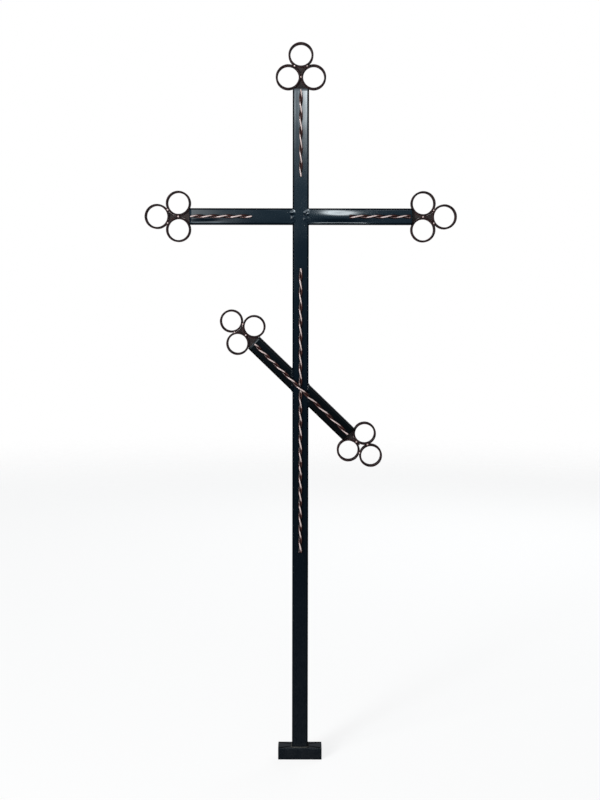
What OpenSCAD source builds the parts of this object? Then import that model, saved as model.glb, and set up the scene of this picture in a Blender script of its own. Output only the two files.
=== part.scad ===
// Grave cross welded from square tube: an upright post on a short crosswise foot, a level
// crossbar and a slanted lower bar. Each free bar end carries a trefoil of three pipe rings,
// and pairs of rods twisted together lie on the front faces.
// The front faces -Y, the high end of the lower bar is at -X, and the origin is at the
// centre of the foot's underside.

/* [Square tube] */
// Outside width of the square tube
tube_w = 40; // [32:1:50]
// Wall of the square tube
tube_wall = 2; // [1.5:0.5:3.5]
// Outside radius of the tube's long edges
tube_corner = 4; // [4:0.5:8]

/* [Post and bars] */
// Height of the post's top end above the ground
post_top = 1667; // [1300:1:2050]
// Distance from the post's top end down to the crossbar's centre line
crossbar_drop = 307; // [240:1:400]
// Distance from the post's centre line to each end of the crossbar
crossbar_reach = 271; // [220:1:340]
// Distance from the crossbar's centre line down to where the lower bar's crosses the post
lower_bar_drop = 420; // [350:1:520]
// Slope of the lower bar, in degrees below the level on the +X side
lower_bar_slope = 44; // [30:1:55]
// Distance along the lower bar from the post's centre line to its high end
high_reach = 160; // [130:1:220]
// Distance along the lower bar from the post's centre line to its low end
low_reach = 166; // [130:1:220]

/* [Foot] */
// Length of the foot, across the post
foot_w = 110; // [80:1:160]
// Depth of the foot, front to back
foot_d = 50; // [44:1:80]
// Height of the foot
foot_h = 30; // [15:1:50]
// Radius of the foot's upright edges
foot_corner = 2; // [1:0.5:6]

/* [Rings] */
// Outside diameter of the rings on the post and the crossbar
ring_d = 61; // [50:0.5:76]
// Outside diameter of the rings on the lower bar
lower_ring_d = 57; // [48:0.5:76]
// Wall of the rings
ring_wall = 5; // [2:0.5:7]
// Length of pipe that each ring is cut from, front to back
ring_depth = 20; // [12:1:50]
// Space between the two rings that flank a bar end, on the post and the lower bar
pair_gap = 0.6; // [0.4:0.1:4]
// Space between the two rings that flank an end of the crossbar
crossbar_pair_gap = 2.8; // [0.4:0.1:4]
// Root gap that the weld bridges wherever a ring touches its neighbour
root_gap = 0.15; // [0.1:0.05:0.3]

/* [Webs] */
// Thickness of the plates that fill the spaces between bar ends and rings
web_t = 3; // [2:0.5:6]
// Distance of the plates behind the front edges of the rings
web_recess = 4; // [0:0.5:8]
// Width at which the pointed tip of a throat plate is cut off
web_tip_w = 2.5; // [1:0.5:3]
// Radius that trims the three points of a centre plate
centre_web_r = 11; // [8:0.5:14]

/* [Twisted rods] */
// Diameter of each of the two rods twisted together
rod_d = 5; // [3:0.5:7]
// Gap between the rods and the face that they lie on
rod_seat = 0.1; // [0.05:0.05:0.3]
// Distance from the crossbar's upper face to the rods above it
rod_above = 76; // [20:1:120]
// Distance from the crossbar's underside to the rods below it
rod_below = 106; // [20:1:160]
// Distance from the post's sides to the rods on the crossbar
rod_beside = 99; // [20:1:140]
// Distance that the long rods run down the post below the lower bar's crossing
rod_run_down = 410; // [150:1:480]
// Distance from a bar end to the rods that run up to it
rod_inset = 3; // [0:0.5:20]
// Length of half a turn on the upper post
upper_half_turn = 40; // [25:1:60]
// Length of half a turn at the lower end of the long rods
long_half_turn_low = 30.5; // [25:0.5:60]
// Length of half a turn at the upper end of the long rods
long_half_turn_high = 38.5; // [25:0.5:60]
// Length of half a turn on the crossbar
crossbar_half_turn = 36; // [25:1:60]
// Length of half a turn at the high end of the lower bar
bar_half_turn_high = 28; // [25:1:60]
// Length of half a turn at the low end of the lower bar
bar_half_turn_low = 44; // [25:1:60]
// Share of half a turn already made where the upper rods start; 0 is side by side
upper_start = 0.35; // [0:0.05:1]
// The same for the rods on the left of the crossbar
crossbar_left_start = 0.45; // [0:0.05:1]
// The same for the lower bar's rods, at their high end
lower_bar_start = 0.5; // [0:0.05:1]
// Length over which the lower bar's rods bow out to pass in front of the long rods
bow_length = 40; // [25:1:60]
// Clearance between the two pairs of rods where they cross
bow_gap = 0.4; // [0.2:0.1:1]

/* [Hidden] */
$fn = 96;
rod_sides = 8;
rod_steps = 5; // rings of facets in each half-turn

front = tube_w / 2;
crossbar_z = post_top - crossbar_drop;
lower_bar_z = crossbar_z - lower_bar_drop;
long_rod_bottom = lower_bar_z - rod_run_down;
lower_turn = 90 + lower_bar_slope;
rod_axis_y = -(front + rod_seat + rod_d);
// Facets cut the corners of a helix, so the rods' centres orbit a little further out
rod_orbit = rod_d / 2 / cos(90 / rod_steps);
high_end = along(lower_bar_z, lower_turn, -high_reach);
low_end = along(lower_bar_z, lower_turn, low_reach);

// Bar ends: name, place, turn about Y that points out of the bar, ring diameter, gap between
// the paired rings, and the names of the paired rings on the +X and -X sides before the turn
ENDS = [
    ["top", [0, 0, post_top], 0, ring_d, pair_gap, "right", "left"],
    ["left", [-crossbar_reach, 0, crossbar_z], -90, ring_d, crossbar_pair_gap, "upper", "lower"],
    ["right", [crossbar_reach, 0, crossbar_z], 90, ring_d, crossbar_pair_gap, "lower", "upper"],
    ["high", high_end, lower_turn - 180, lower_ring_d, pair_gap, "upper", "lower"],
    ["low", low_end, lower_turn, lower_ring_d, pair_gap, "lower", "upper"]
];
// The trefoil at the low end has no centre plate
CENTRED_ENDS = [for (e = ENDS) if (e[0] != "low") e];

// Rod pairs: name, start, turn about Y, length, half-turn at the start and at the end, the
// distance from the start at which the pair bows out over another one, or undef, and the share
// of half a turn made at the start
RODS = [
    ["upper_post", [0, 0, crossbar_z + front + rod_above], 0,
     post_top - rod_inset - crossbar_z - front - rod_above, upper_half_turn, upper_half_turn, undef,
     upper_start],
    ["long_post", [0, 0, long_rod_bottom], 0,
     crossbar_z - front - rod_below - long_rod_bottom, long_half_turn_low, long_half_turn_high, undef,
     0],
    ["crossbar_left", [-front - rod_beside, 0, crossbar_z], -90,
     crossbar_reach - rod_inset - front - rod_beside, crossbar_half_turn, crossbar_half_turn, undef,
     crossbar_left_start],
    ["crossbar_right", [front + rod_beside, 0, crossbar_z], 90,
     crossbar_reach - rod_inset - front - rod_beside, crossbar_half_turn, crossbar_half_turn, undef,
     0],
    ["lower_bar", along(lower_bar_z, lower_turn, rod_inset - high_reach), lower_turn,
     high_reach + low_reach - 2 * rod_inset, bar_half_turn_high, bar_half_turn_low,
     high_reach - rod_inset, lower_bar_start]
];

function ring_name(e, place) = str("ring_", e[0], "_", place == 0 ? "tip" : e[4 + place]);
function throat_name(e) = str("throat_web_", e[0]);
function centre_name(e) = str("centre_web_", e[0]);
function rod_name(r, strand) = str("rod_", r[0], strand == 0 ? "_a" : "_b");

// Point at a signed distance along a bar that crosses the post's centre line at height z
function along(z, turn, reach) = [reach * sin(turn), 0, z + reach * cos(turn)];

// Distance of the paired rings' centres from the bar's centre line
function pair_x(e) = (e[3] + e[4]) / 2;
// Distance of the paired rings' centres beyond the bar end, where they meet its corners
function pair_z(e) = sqrt(pow(e[3] / 2 + root_gap, 2) - pow(pair_x(e) - tube_w / 2, 2));
// Distance of the tip ring's centre beyond the bar end, where it meets both paired rings
function tip_z(e) = pair_z(e) + sqrt(pow(e[3] + root_gap, 2) - pow(pair_x(e), 2));
// Centres of the three rings beyond a bar end: the tip, then the pair
function ring_centres(e) = [[0, tip_z(e)], [pair_x(e), pair_z(e)], [-pair_x(e), pair_z(e)]];

// Half-turns made after a distance s, where the length of a half-turn grows evenly
// from first to last over the whole length
function half_turns(s, length, first, last) =
    abs(last - first) < 0.01 ? s / first
    : length / (last - first) * ln(1 + (last - first) * s / (length * first));

// Outward shift at a distance s, a smooth rise of two rod diameters around the crossing
function bow(s, crossing) =
    is_undef(crossing) ? 0
    : (2 * rod_d + bow_gap) * exp(-pow((s - crossing) / bow_length, 2));

// Square with round corners, exact arcs
module rounded_square(w, d, r) {
    square([w, d - 2 * r], center = true);
    square([w - 2 * r, d], center = true);
    for (x = [-1, 1], y = [-1, 1])
        translate([x * (w / 2 - r), y * (d / 2 - r)]) circle(r);
}

// Square tube standing on z = 0, with its far end closed by a wall
module capped_tube(length) {
    difference() {
        linear_extrude(length) rounded_square(tube_w, tube_w, tube_corner);
        translate([0, 0, -1]) linear_extrude(length - tube_wall + 1)
            rounded_square(tube_w - 2 * tube_wall, tube_w - 2 * tube_wall, tube_corner - tube_wall);
    }
}

// Moves what is drawn pointing up +Z out of the origin to a bar end
module at_end(e) {
    translate(e[1]) rotate([0, e[2], 0]) children();
}

// Turns a flat outline drawn in X and Y to stand in X and Z, with the given front face
module upright_plate(front_y, thickness) {
    translate([0, front_y + thickness, 0]) rotate([90, 0, 0]) linear_extrude(thickness) children();
}

module post() {
    color([0.12, 0.13, 0.15])
        translate([0, 0, foot_h]) capped_tube(post_top - foot_h);
}

module foot() {
    color([0.10, 0.11, 0.12])
        linear_extrude(foot_h) rounded_square(foot_w, foot_d, foot_corner);
}

// One half of the crossbar, butted on the side of the post
module crossbar(side) {
    color([0.12, 0.14, 0.17])
        translate([side * front, 0, crossbar_z]) rotate([0, side * 90, 0])
            capped_tube(crossbar_reach - front);
}

// One half of the lower bar, its inner end mitred to the side of the post
module lower_bar(turn, reach) {
    color([0.08, 0.08, 0.09])
        difference() {
            translate([0, 0, lower_bar_z]) rotate([0, turn, 0]) capped_tube(reach);
            translate([0, 0, lower_bar_z])
                cube([tube_w, 2 * tube_w, 4 * tube_w], center = true);
        }
}

// One slice of round pipe, its axis front to back
module ring(e, place) {
    centre = ring_centres(e)[place];
    color([0.27, 0.20, 0.18])
        translate([centre[0], 0, centre[1]]) rotate([90, 0, 0])
            difference() {
                cylinder(d = e[3], h = ring_depth, center = true);
                cylinder(d = e[3] - 2 * ring_wall, h = ring_depth + 2, center = true);
            }
}

// The three rings' outlines with their root gap, to cut a plate that fits between them
module ring_outlines(e) {
    for (centre = ring_centres(e)) translate(centre) circle(d = e[3] + 2 * root_gap);
}

// Plate between a bar end and the two rings that flank it
module throat_web(e) {
    half_w = tube_w / 2 - tube_wall;
    narrowing = sqrt(max(0, pow(e[3] / 2 + root_gap, 2) - pow(pair_x(e) - web_tip_w / 2, 2)));
    color([0.24, 0.21, 0.19])
        upright_plate(web_recess - ring_depth / 2, web_t)
            difference() {
                translate([-half_w, 0]) square([2 * half_w, pair_z(e) - narrowing]);
                ring_outlines(e);
            }
}

// Three-pointed plate between the three rings of a trefoil
module centre_web(e) {
    color([0.22, 0.17, 0.15])
        upright_plate(web_recess - ring_depth / 2, web_t)
            difference() {
                translate([0, (2 * pair_z(e) + tip_z(e)) / 3]) circle(centre_web_r);
                ring_outlines(e);
            }
}

// One rod of a twisted pair, wound left-handed about an axis in front of the tube's face.
// Each section is a flat polygon square to the pair's axis.
module rod(r, strand) {
    length = r[3];
    rings = ceil(rod_steps * half_turns(length, length, r[4], r[5]));
    points = [
        for (i = [0 : rings])
            let (s = length * i / rings,
                 turn = 180 * (half_turns(s, length, r[4], r[5]) + r[7] + strand),
                 x = rod_orbit * cos(turn),
                 y = -rod_orbit * sin(turn) - bow(s, r[6]))
            for (j = [0 : rod_sides - 1])
                let (a = 360 * j / rod_sides)
                [x + (rod_d - rod_seat) / 2 * cos(a), y + (rod_d - rod_seat) / 2 * sin(a), s]
    ];
    sides = [
        for (i = [0 : rings - 1], j = [0 : rod_sides - 1])
            let (a = i * rod_sides + j, b = i * rod_sides + (j + 1) % rod_sides)
            [a, a + rod_sides, b + rod_sides, b]
    ];
    start_cap = [for (j = [0 : rod_sides - 1]) j];
    end_cap = [for (j = [rod_sides - 1 : -1 : 0]) rings * rod_sides + j];
    color([0.45, 0.28, 0.22])
        translate(r[1]) rotate([0, r[2], 0]) translate([0, rod_axis_y, 0])
            polyhedron(points, concat([start_cap, end_cap], sides), convexity = 10);
}

post();
crossbar(-1);  // crossbar_left
crossbar(1);  // crossbar_right
lower_bar(lower_turn - 180, high_reach);  // lower_bar_high
lower_bar(lower_turn, low_reach);  // lower_bar_low
foot();
for (e = ENDS) {
    for (place = [0 : 2])
        at_end(e) ring(e, place);
    at_end(e) throat_web(e);
}
for (e = CENTRED_ENDS)
    at_end(e) centre_web(e);
for (r = RODS) for (strand = [0, 1])
    rod(r, strand);
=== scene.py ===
"""Finish of a welded grave cross: glossy square tube, patinated pipe rings and twisted rods.

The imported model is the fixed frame. Places and overall sizes are read from its boxes, in metres;
what a box cannot tell, such as a wall or the pitch of a twist, is a named field of the class that
builds the piece. The front of the cross faces -Y and the lower bar falls towards +X.
"""

import logging
import math
from collections.abc import Sequence
from dataclasses import dataclass, field
from enum import Enum
from itertools import combinations

import bpy
import numpy as np
from mathutils import Euler, Matrix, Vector
from numpy.typing import NDArray


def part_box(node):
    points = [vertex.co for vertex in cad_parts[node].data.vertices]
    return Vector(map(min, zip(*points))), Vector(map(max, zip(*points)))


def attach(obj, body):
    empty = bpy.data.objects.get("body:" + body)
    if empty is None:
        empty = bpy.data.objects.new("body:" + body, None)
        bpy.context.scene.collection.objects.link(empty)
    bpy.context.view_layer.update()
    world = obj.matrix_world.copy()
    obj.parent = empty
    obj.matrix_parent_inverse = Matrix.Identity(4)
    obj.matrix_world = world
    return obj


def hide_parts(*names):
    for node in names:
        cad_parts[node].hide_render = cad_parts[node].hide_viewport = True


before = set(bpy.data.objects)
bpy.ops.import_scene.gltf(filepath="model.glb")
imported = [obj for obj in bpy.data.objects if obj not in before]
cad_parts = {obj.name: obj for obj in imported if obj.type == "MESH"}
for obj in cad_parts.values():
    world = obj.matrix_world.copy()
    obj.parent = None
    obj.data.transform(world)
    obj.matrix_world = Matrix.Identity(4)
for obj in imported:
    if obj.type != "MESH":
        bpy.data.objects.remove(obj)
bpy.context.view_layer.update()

LOG = logging.getLogger("cross")
MM = 0.001
CREASE_DEG = 50.0  # edges bent by more than this are drawn sharp
WAVE_TERMS = 7  # cosines in a random field
WAVE_STRETCH = (0.6, 1.8)  # their lengths, as shares of the typical one
WAVE_PHASE = 7.0  # the largest phase, a little over a full turn
TINY = 1e-6  # below this a divisor counts as nothing
POLE_GAP = 0.06  # angle between a weld spot's pole and its first row
PAD_EDGE, BEAD_EDGE, FOOT_EDGE = 0.1, 0.3, 0.4  # painted edge values of the welds

Array = NDArray[np.float64]
Socket = bpy.types.NodeSocket
Sockets = bpy.types.bpy_prop_collection
Colour = tuple[float, float, float]


class Slot(Enum):
    """Names of the material slots, one for each kind of finish."""

    ENAMEL = "black_enamel"
    PATINA = "ring_patina"
    COPPER = "copper_rod"


class Wrap(Enum):
    """How a grid of points closes on itself."""

    TUBE = "columns join, the end rows are closed by fans"
    TORUS = "columns and rows both join"


class Side(Enum):
    """Front or back of the cross, as the sign of Y."""

    FRONT = -1
    BACK = 1


# --------------------------------------------------------------------------- surfaces


@dataclass
class Surface:
    """Closed skin of quads and triangles, with values painted on its points.

    Args:
        points: (n, 3) places.
        quads: (m, 4) indices.
        tris: (k, 3) indices.
        paint: one array of n values, or of n vectors, for each painted attribute.
    """

    points: Array
    quads: NDArray[np.int64]
    tris: NDArray[np.int64]
    paint: dict[str, Array] = field(default_factory=dict)

    @classmethod
    def from_grid(cls, grid: Array, wrap: Wrap, **paint: Array) -> "Surface":
        """Makes a skin from points in rows along a path and columns around it.

        A quad joins (i, j), (i, j+1), (i+1, j+1) and (i+1, j). The end rows of a tube are closed
        by fans about their means. All faces are turned over if the volume comes out negative.

        Args:
            grid: (rows, columns, 3) places.
            wrap: how the grid closes.
            **paint: (rows, columns) values or (rows, columns, 3) vectors.

        Returns:
            The closed skin, its faces outwards.
        """
        rows, cols = grid.shape[:2]
        index = np.arange(rows * cols).reshape(rows, cols)
        beside = np.roll(index, -1, axis=1)
        if wrap is Wrap.TORUS:
            low, low_beside = index, beside
            high, high_beside = np.roll(index, -1, axis=0), np.roll(beside, -1, axis=0)
        else:
            low, low_beside, high, high_beside = index[:-1], beside[:-1], index[1:], beside[1:]
        quads = np.stack([low, low_beside, high_beside, high], axis=-1).reshape(-1, 4)
        points = grid.reshape(-1, 3)
        values = {name: value.reshape(rows * cols, -1) for name, value in paint.items()}
        tris = np.empty((0, 3), np.int64)
        if wrap is Wrap.TUBE:
            first, last = rows * cols, rows * cols + 1
            points = np.vstack([points, grid[0].mean(axis=0), grid[-1].mean(axis=0)])
            start = np.stack([np.full(cols, first), beside[0], index[0]], axis=-1)
            end = np.stack([np.full(cols, last), index[-1], beside[-1]], axis=-1)
            tris = np.vstack([start, end])
            values = {
                name: np.vstack([value, value[:cols].mean(axis=0), value[-cols:].mean(axis=0)])
                for name, value in values.items()
            }
        skin = cls(points, quads, tris, values)
        if skin.volume() < 0:
            skin.quads, skin.tris = skin.quads[:, ::-1], skin.tris[:, ::-1]
        return skin

    @classmethod
    def joined(cls, parts: Sequence["Surface"]) -> "Surface":
        """Puts several skins in one.

        Args:
            parts: the skins.

        Returns:
            One skin, with the paint that they all have.
        """
        shift = np.cumsum([0] + [len(part.points) for part in parts[:-1]])
        names = set.intersection(*(set(part.paint) for part in parts))
        return cls(
            np.vstack([part.points for part in parts]),
            np.vstack([part.quads + step for part, step in zip(parts, shift)]),
            np.vstack([part.tris + step for part, step in zip(parts, shift)]),
            {name: np.vstack([part.paint[name] for part in parts]) for name in sorted(names)},
        )

    def volume(self) -> float:
        """Sums a . (b x c) / 6 over the triangles.

        Returns:
            The volume, negative where the faces point inwards.
        """
        split = np.vstack([self.quads[:, [0, 1, 2]], self.quads[:, [0, 2, 3]], self.tris])
        a, b, c = (self.points[split[:, corner]] for corner in range(3))
        return float(np.einsum("ij,ij->", a, np.cross(b, c)) / 6)

    def to_piece(
        self, name: str, slot: Slot, material: bpy.types.Material, stands_for: Sequence[str] = ()
    ) -> None:
        """Writes the skin into a mesh object at the origin, unturned, that rides on the cross.

        Args:
            name: the piece's name.
            slot: its material slot's name; not used.
            material: its material.
            stands_for: CAD nodes that it replaces.
        """
        mesh = bpy.data.meshes.new(name)
        corners = np.concatenate([self.quads.ravel(), self.tris.ravel()]).astype(np.int32)
        sizes = np.repeat([4, 3], [len(self.quads), len(self.tris)])
        starts = np.concatenate([[0], np.cumsum(sizes)[:-1]]).astype(np.int32)
        mesh.vertices.add(len(self.points))
        mesh.vertices.foreach_set("co", self.points.astype(np.float32).ravel())
        mesh.loops.add(len(corners))
        mesh.loops.foreach_set("vertex_index", corners)
        mesh.polygons.add(len(sizes))
        mesh.polygons.foreach_set("loop_start", starts)
        for label, value in self.paint.items():
            kind, key = ("FLOAT", "value") if value.shape[1] == 1 else ("FLOAT_VECTOR", "vector")
            layer = mesh.attributes.new(label, kind, "POINT")
            layer.data.foreach_set(key, value.astype(np.float32).ravel())
        mesh.update(calc_edges=True)
        mesh.validate()
        mesh.shade_smooth()
        mesh.set_sharp_from_angle(angle=math.radians(CREASE_DEG))
        mesh.materials.append(material)
        piece = bpy.data.objects.new(name, mesh)
        bpy.context.scene.collection.objects.link(piece)
        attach(piece, "root")
        if stands_for:
            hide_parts(*stands_for)
        LOG.info("%s: %d faces", name, len(sizes))


@dataclass(frozen=True)
class Placing:
    """Where a piece drawn pointing up +Z lies: its start and its turn about Y."""

    start: tuple[float, float, float]
    turn_deg: float = 0.0

    @property
    def facing(self) -> tuple[float, float]:
        """Cosine and sine of the turn."""
        return math.cos(math.radians(self.turn_deg)), math.sin(math.radians(self.turn_deg))

    def put(self, points: Array) -> Array:
        """Turns points and moves them: (x cos t + z sin t, y, z cos t - x sin t) + start.

        Args:
            points: (..., 3) places before the turn.

        Returns:
            The places in the row frame.
        """
        cos, sin = self.facing
        x, y, z = points[..., 0], points[..., 1], points[..., 2]
        return stacked(x * cos + z * sin, y, z * cos - x * sin) + np.array(self.start)

    def local(self, place: tuple[float, float]) -> tuple[float, float]:
        """Undoes put for one place.

        Args:
            place: its (x, z) in the row frame.

        Returns:
            Its (x, z) before the turn and the move.
        """
        cos, sin = self.facing
        x, z = place[0] - self.start[0], place[1] - self.start[2]
        return x * cos - z * sin, x * sin + z * cos


def stacked(x: Array | float, y: Array | float, z: Array | float) -> Array:
    """Points from their coordinates, each one value or an array that fits the others."""
    return np.stack(np.broadcast_arrays(x, y, z), axis=-1)


def unit(vector: Array) -> Array:
    """Vectors divided by their length, along the last axis."""
    return vector / np.linalg.norm(vector, axis=-1, keepdims=True)


def smooth_step(value: Array, low: float, high: float) -> Array:
    """Rises from 0 at low to 1 at high as 3t^2 - 2t^3."""
    t = np.clip((value - low) / (high - low), 0, 1)
    return t * t * (3 - 2 * t)


def full_turn(steps: int) -> Array:
    """Angles of a full turn in equal steps, its end left out."""
    return np.linspace(0, 2 * math.pi, steps, endpoint=False)


def quarter_turn(steps: int) -> Array:
    """Angles of a quarter turn in equal steps, both ends kept."""
    return np.linspace(0, math.pi / 2, steps + 1)


def unevenness(u: Array, v: Array, wave: float, seed: int) -> Array:
    """Smooth random field: a scaled sum of cosines of random direction, length and phase.

    Each term is cos(2 pi (u cos a + v sin a) / (k wave) + p).

    Args:
        u: first coordinate of each point.
        v: second coordinate, in the same units.
        wave: typical wavelength.
        seed: seed of the draw.

    Returns:
        Values of about -1 to 1, in the shape of u and v together.
    """
    draw = np.random.default_rng(seed)
    total = np.zeros(np.broadcast(u, v).shape)
    for _ in range(WAVE_TERMS):
        angle, stretch = draw.uniform(0, math.pi), draw.uniform(*WAVE_STRETCH)
        phase = draw.uniform(0, WAVE_PHASE)
        along = (u * math.cos(angle) + v * math.sin(angle)) / (wave * stretch)
        total += np.cos(2 * math.pi * along + phase)
    return total / math.sqrt(2 * WAVE_TERMS)


@dataclass(frozen=True)
class Outline:
    """Rectangle with round corners, worked out counter-clockwise as one closed row of points.

    Args:
        width: full size along the first axis.
        depth: full size along the second axis.
        radius: corner radius.
        flat_steps: steps along each flat.
        corner_steps: steps round each corner.
    """

    width: float
    depth: float
    radius: float
    flat_steps: int
    corner_steps: int

    def trace(self) -> tuple[Array, Array, Array]:
        """Points, outward normals and a share that is 1 on the corners and 0 in mid-flat.

        Corner q is a quarter circle from angle q pi/2 about a centre a radius inside both sides.
        On the flat after it t = (1 - cos(pi k / n)) / 2, closer near its ends, and the share is
        (2t - 1)^2.

        Returns:
            (n, 2) points, (n, 2) normals and n shares.
        """
        half = np.array([self.width / 2 - self.radius, self.depth / 2 - self.radius])
        centres = np.array([[1, 1], [-1, 1], [-1, -1], [1, -1]]) * half
        points, normals, share = [], [], []
        for quarter, centre in enumerate(centres):
            angle = (quarter + np.linspace(0, 1, self.corner_steps + 1)) * math.pi / 2
            facing = np.stack([np.cos(angle), np.sin(angle)], axis=-1)
            t = 0.5 - 0.5 * np.cos(np.linspace(0, math.pi, self.flat_steps + 1)[1:-1])
            target = centres[(quarter + 1) % 4]
            points += [centre + self.radius * facing]
            points += [centre + self.radius * facing[-1] + t[:, None] * (target - centre)]
            normals += [facing, np.repeat(facing[-1:], len(t), axis=0)]
            share += [np.ones(len(angle)), (2 * t - 1) ** 2]
        return np.vstack(points), np.vstack(normals), np.concatenate(share)


# --------------------------------------------------------------------------- shaders


@dataclass
class Graph:
    """A node tree while it is being wired."""

    tree: bpy.types.NodeTree

    def feed(self, node: bpy.types.Node, inputs: dict[str | int, object]) -> None:
        """Links sockets to a node's inputs, and sets the inputs that are given as values.

        Args:
            node: the node.
            inputs: a value or a socket for each named or numbered input.
        """
        for key, value in inputs.items():
            if isinstance(value, Socket):
                self.tree.links.new(value, node.inputs[key])
            else:
                node.inputs[key].default_value = value

    def add(
        self, kind: str, inputs: dict[str | int, object] | None = None, **settings: object
    ) -> bpy.types.Node:
        """Adds a node.

        Args:
            kind: the node's type, without the ShaderNode prefix.
            inputs: a value or a socket for each named or numbered input.
            **settings: the node's own settings.

        Returns:
            The node.
        """
        node = self.tree.nodes.new("ShaderNode" + kind)
        for name, value in settings.items():
            setattr(node, name, value)
        self.feed(node, inputs or {})
        return node

    def math(
        self, operation: str, a: Socket | float, b: Socket | float = 0.0, clamp: bool = False
    ) -> Socket:
        """Result of a Math node on one or two values."""
        return self.add("Math", {0: a, 1: b}, operation=operation, use_clamp=clamp).outputs[0]

    def blend(self, share: Socket | float, low: Socket | Colour, high: Socket | Colour) -> Socket:
        """Colour that goes from low to high as the share goes from 0 to 1."""
        low, high = (end if isinstance(end, Socket) else (*end, 1.0) for end in (low, high))
        return self.add("Mix", {0: share, 6: low, 7: high}, data_type="RGBA").outputs[2]

    def spread(
        self, value: Socket, low: float, high: float, to: tuple[float, float] = (0.0, 1.0)
    ) -> Socket:
        """Value carried smoothly from low..high to a new range."""
        inputs = {0: value, 1: low, 2: high, 3: to[0], 4: to[1]}
        return self.add("MapRange", inputs, interpolation_type="SMOOTHSTEP").outputs[0]

    def spread_linear(self, value: Socket, low: float, high: float) -> Socket:
        """Value carried evenly from low..high to 0..1, held at both ends."""
        return self.add("MapRange", {0: value, 1: low, 2: high}, clamp=True).outputs[0]

    def paint(self, name: str, output: str = "Fac") -> Socket:
        """A value or vector painted on the mesh."""
        return self.add("Attribute", attribute_name=name).outputs[output]

    def noise(self, scale: Socket | float, detail: float, place: Socket | None = None) -> Socket:
        """Noise over a vector, or over Object coordinates where none is given."""
        place = self.add("TexCoord").outputs["Object"] if place is None else place
        return self.add("TexNoise", {"Vector": place, "Scale": scale, "Detail": detail}).outputs["Fac"]


class Effect(Enum):
    """Shared effects, each a shader node group."""

    MOTTLE = "mottle"
    EDGE_WEAR = "edge_wear"
    # edge wear, on the rings also a painted highlight along the rims
    DRAWN_GRAIN = "drawn_grain"
    SETTLED_DUST = "settled_dust"
    PAINT_SKIN = "paint_skin"


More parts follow.
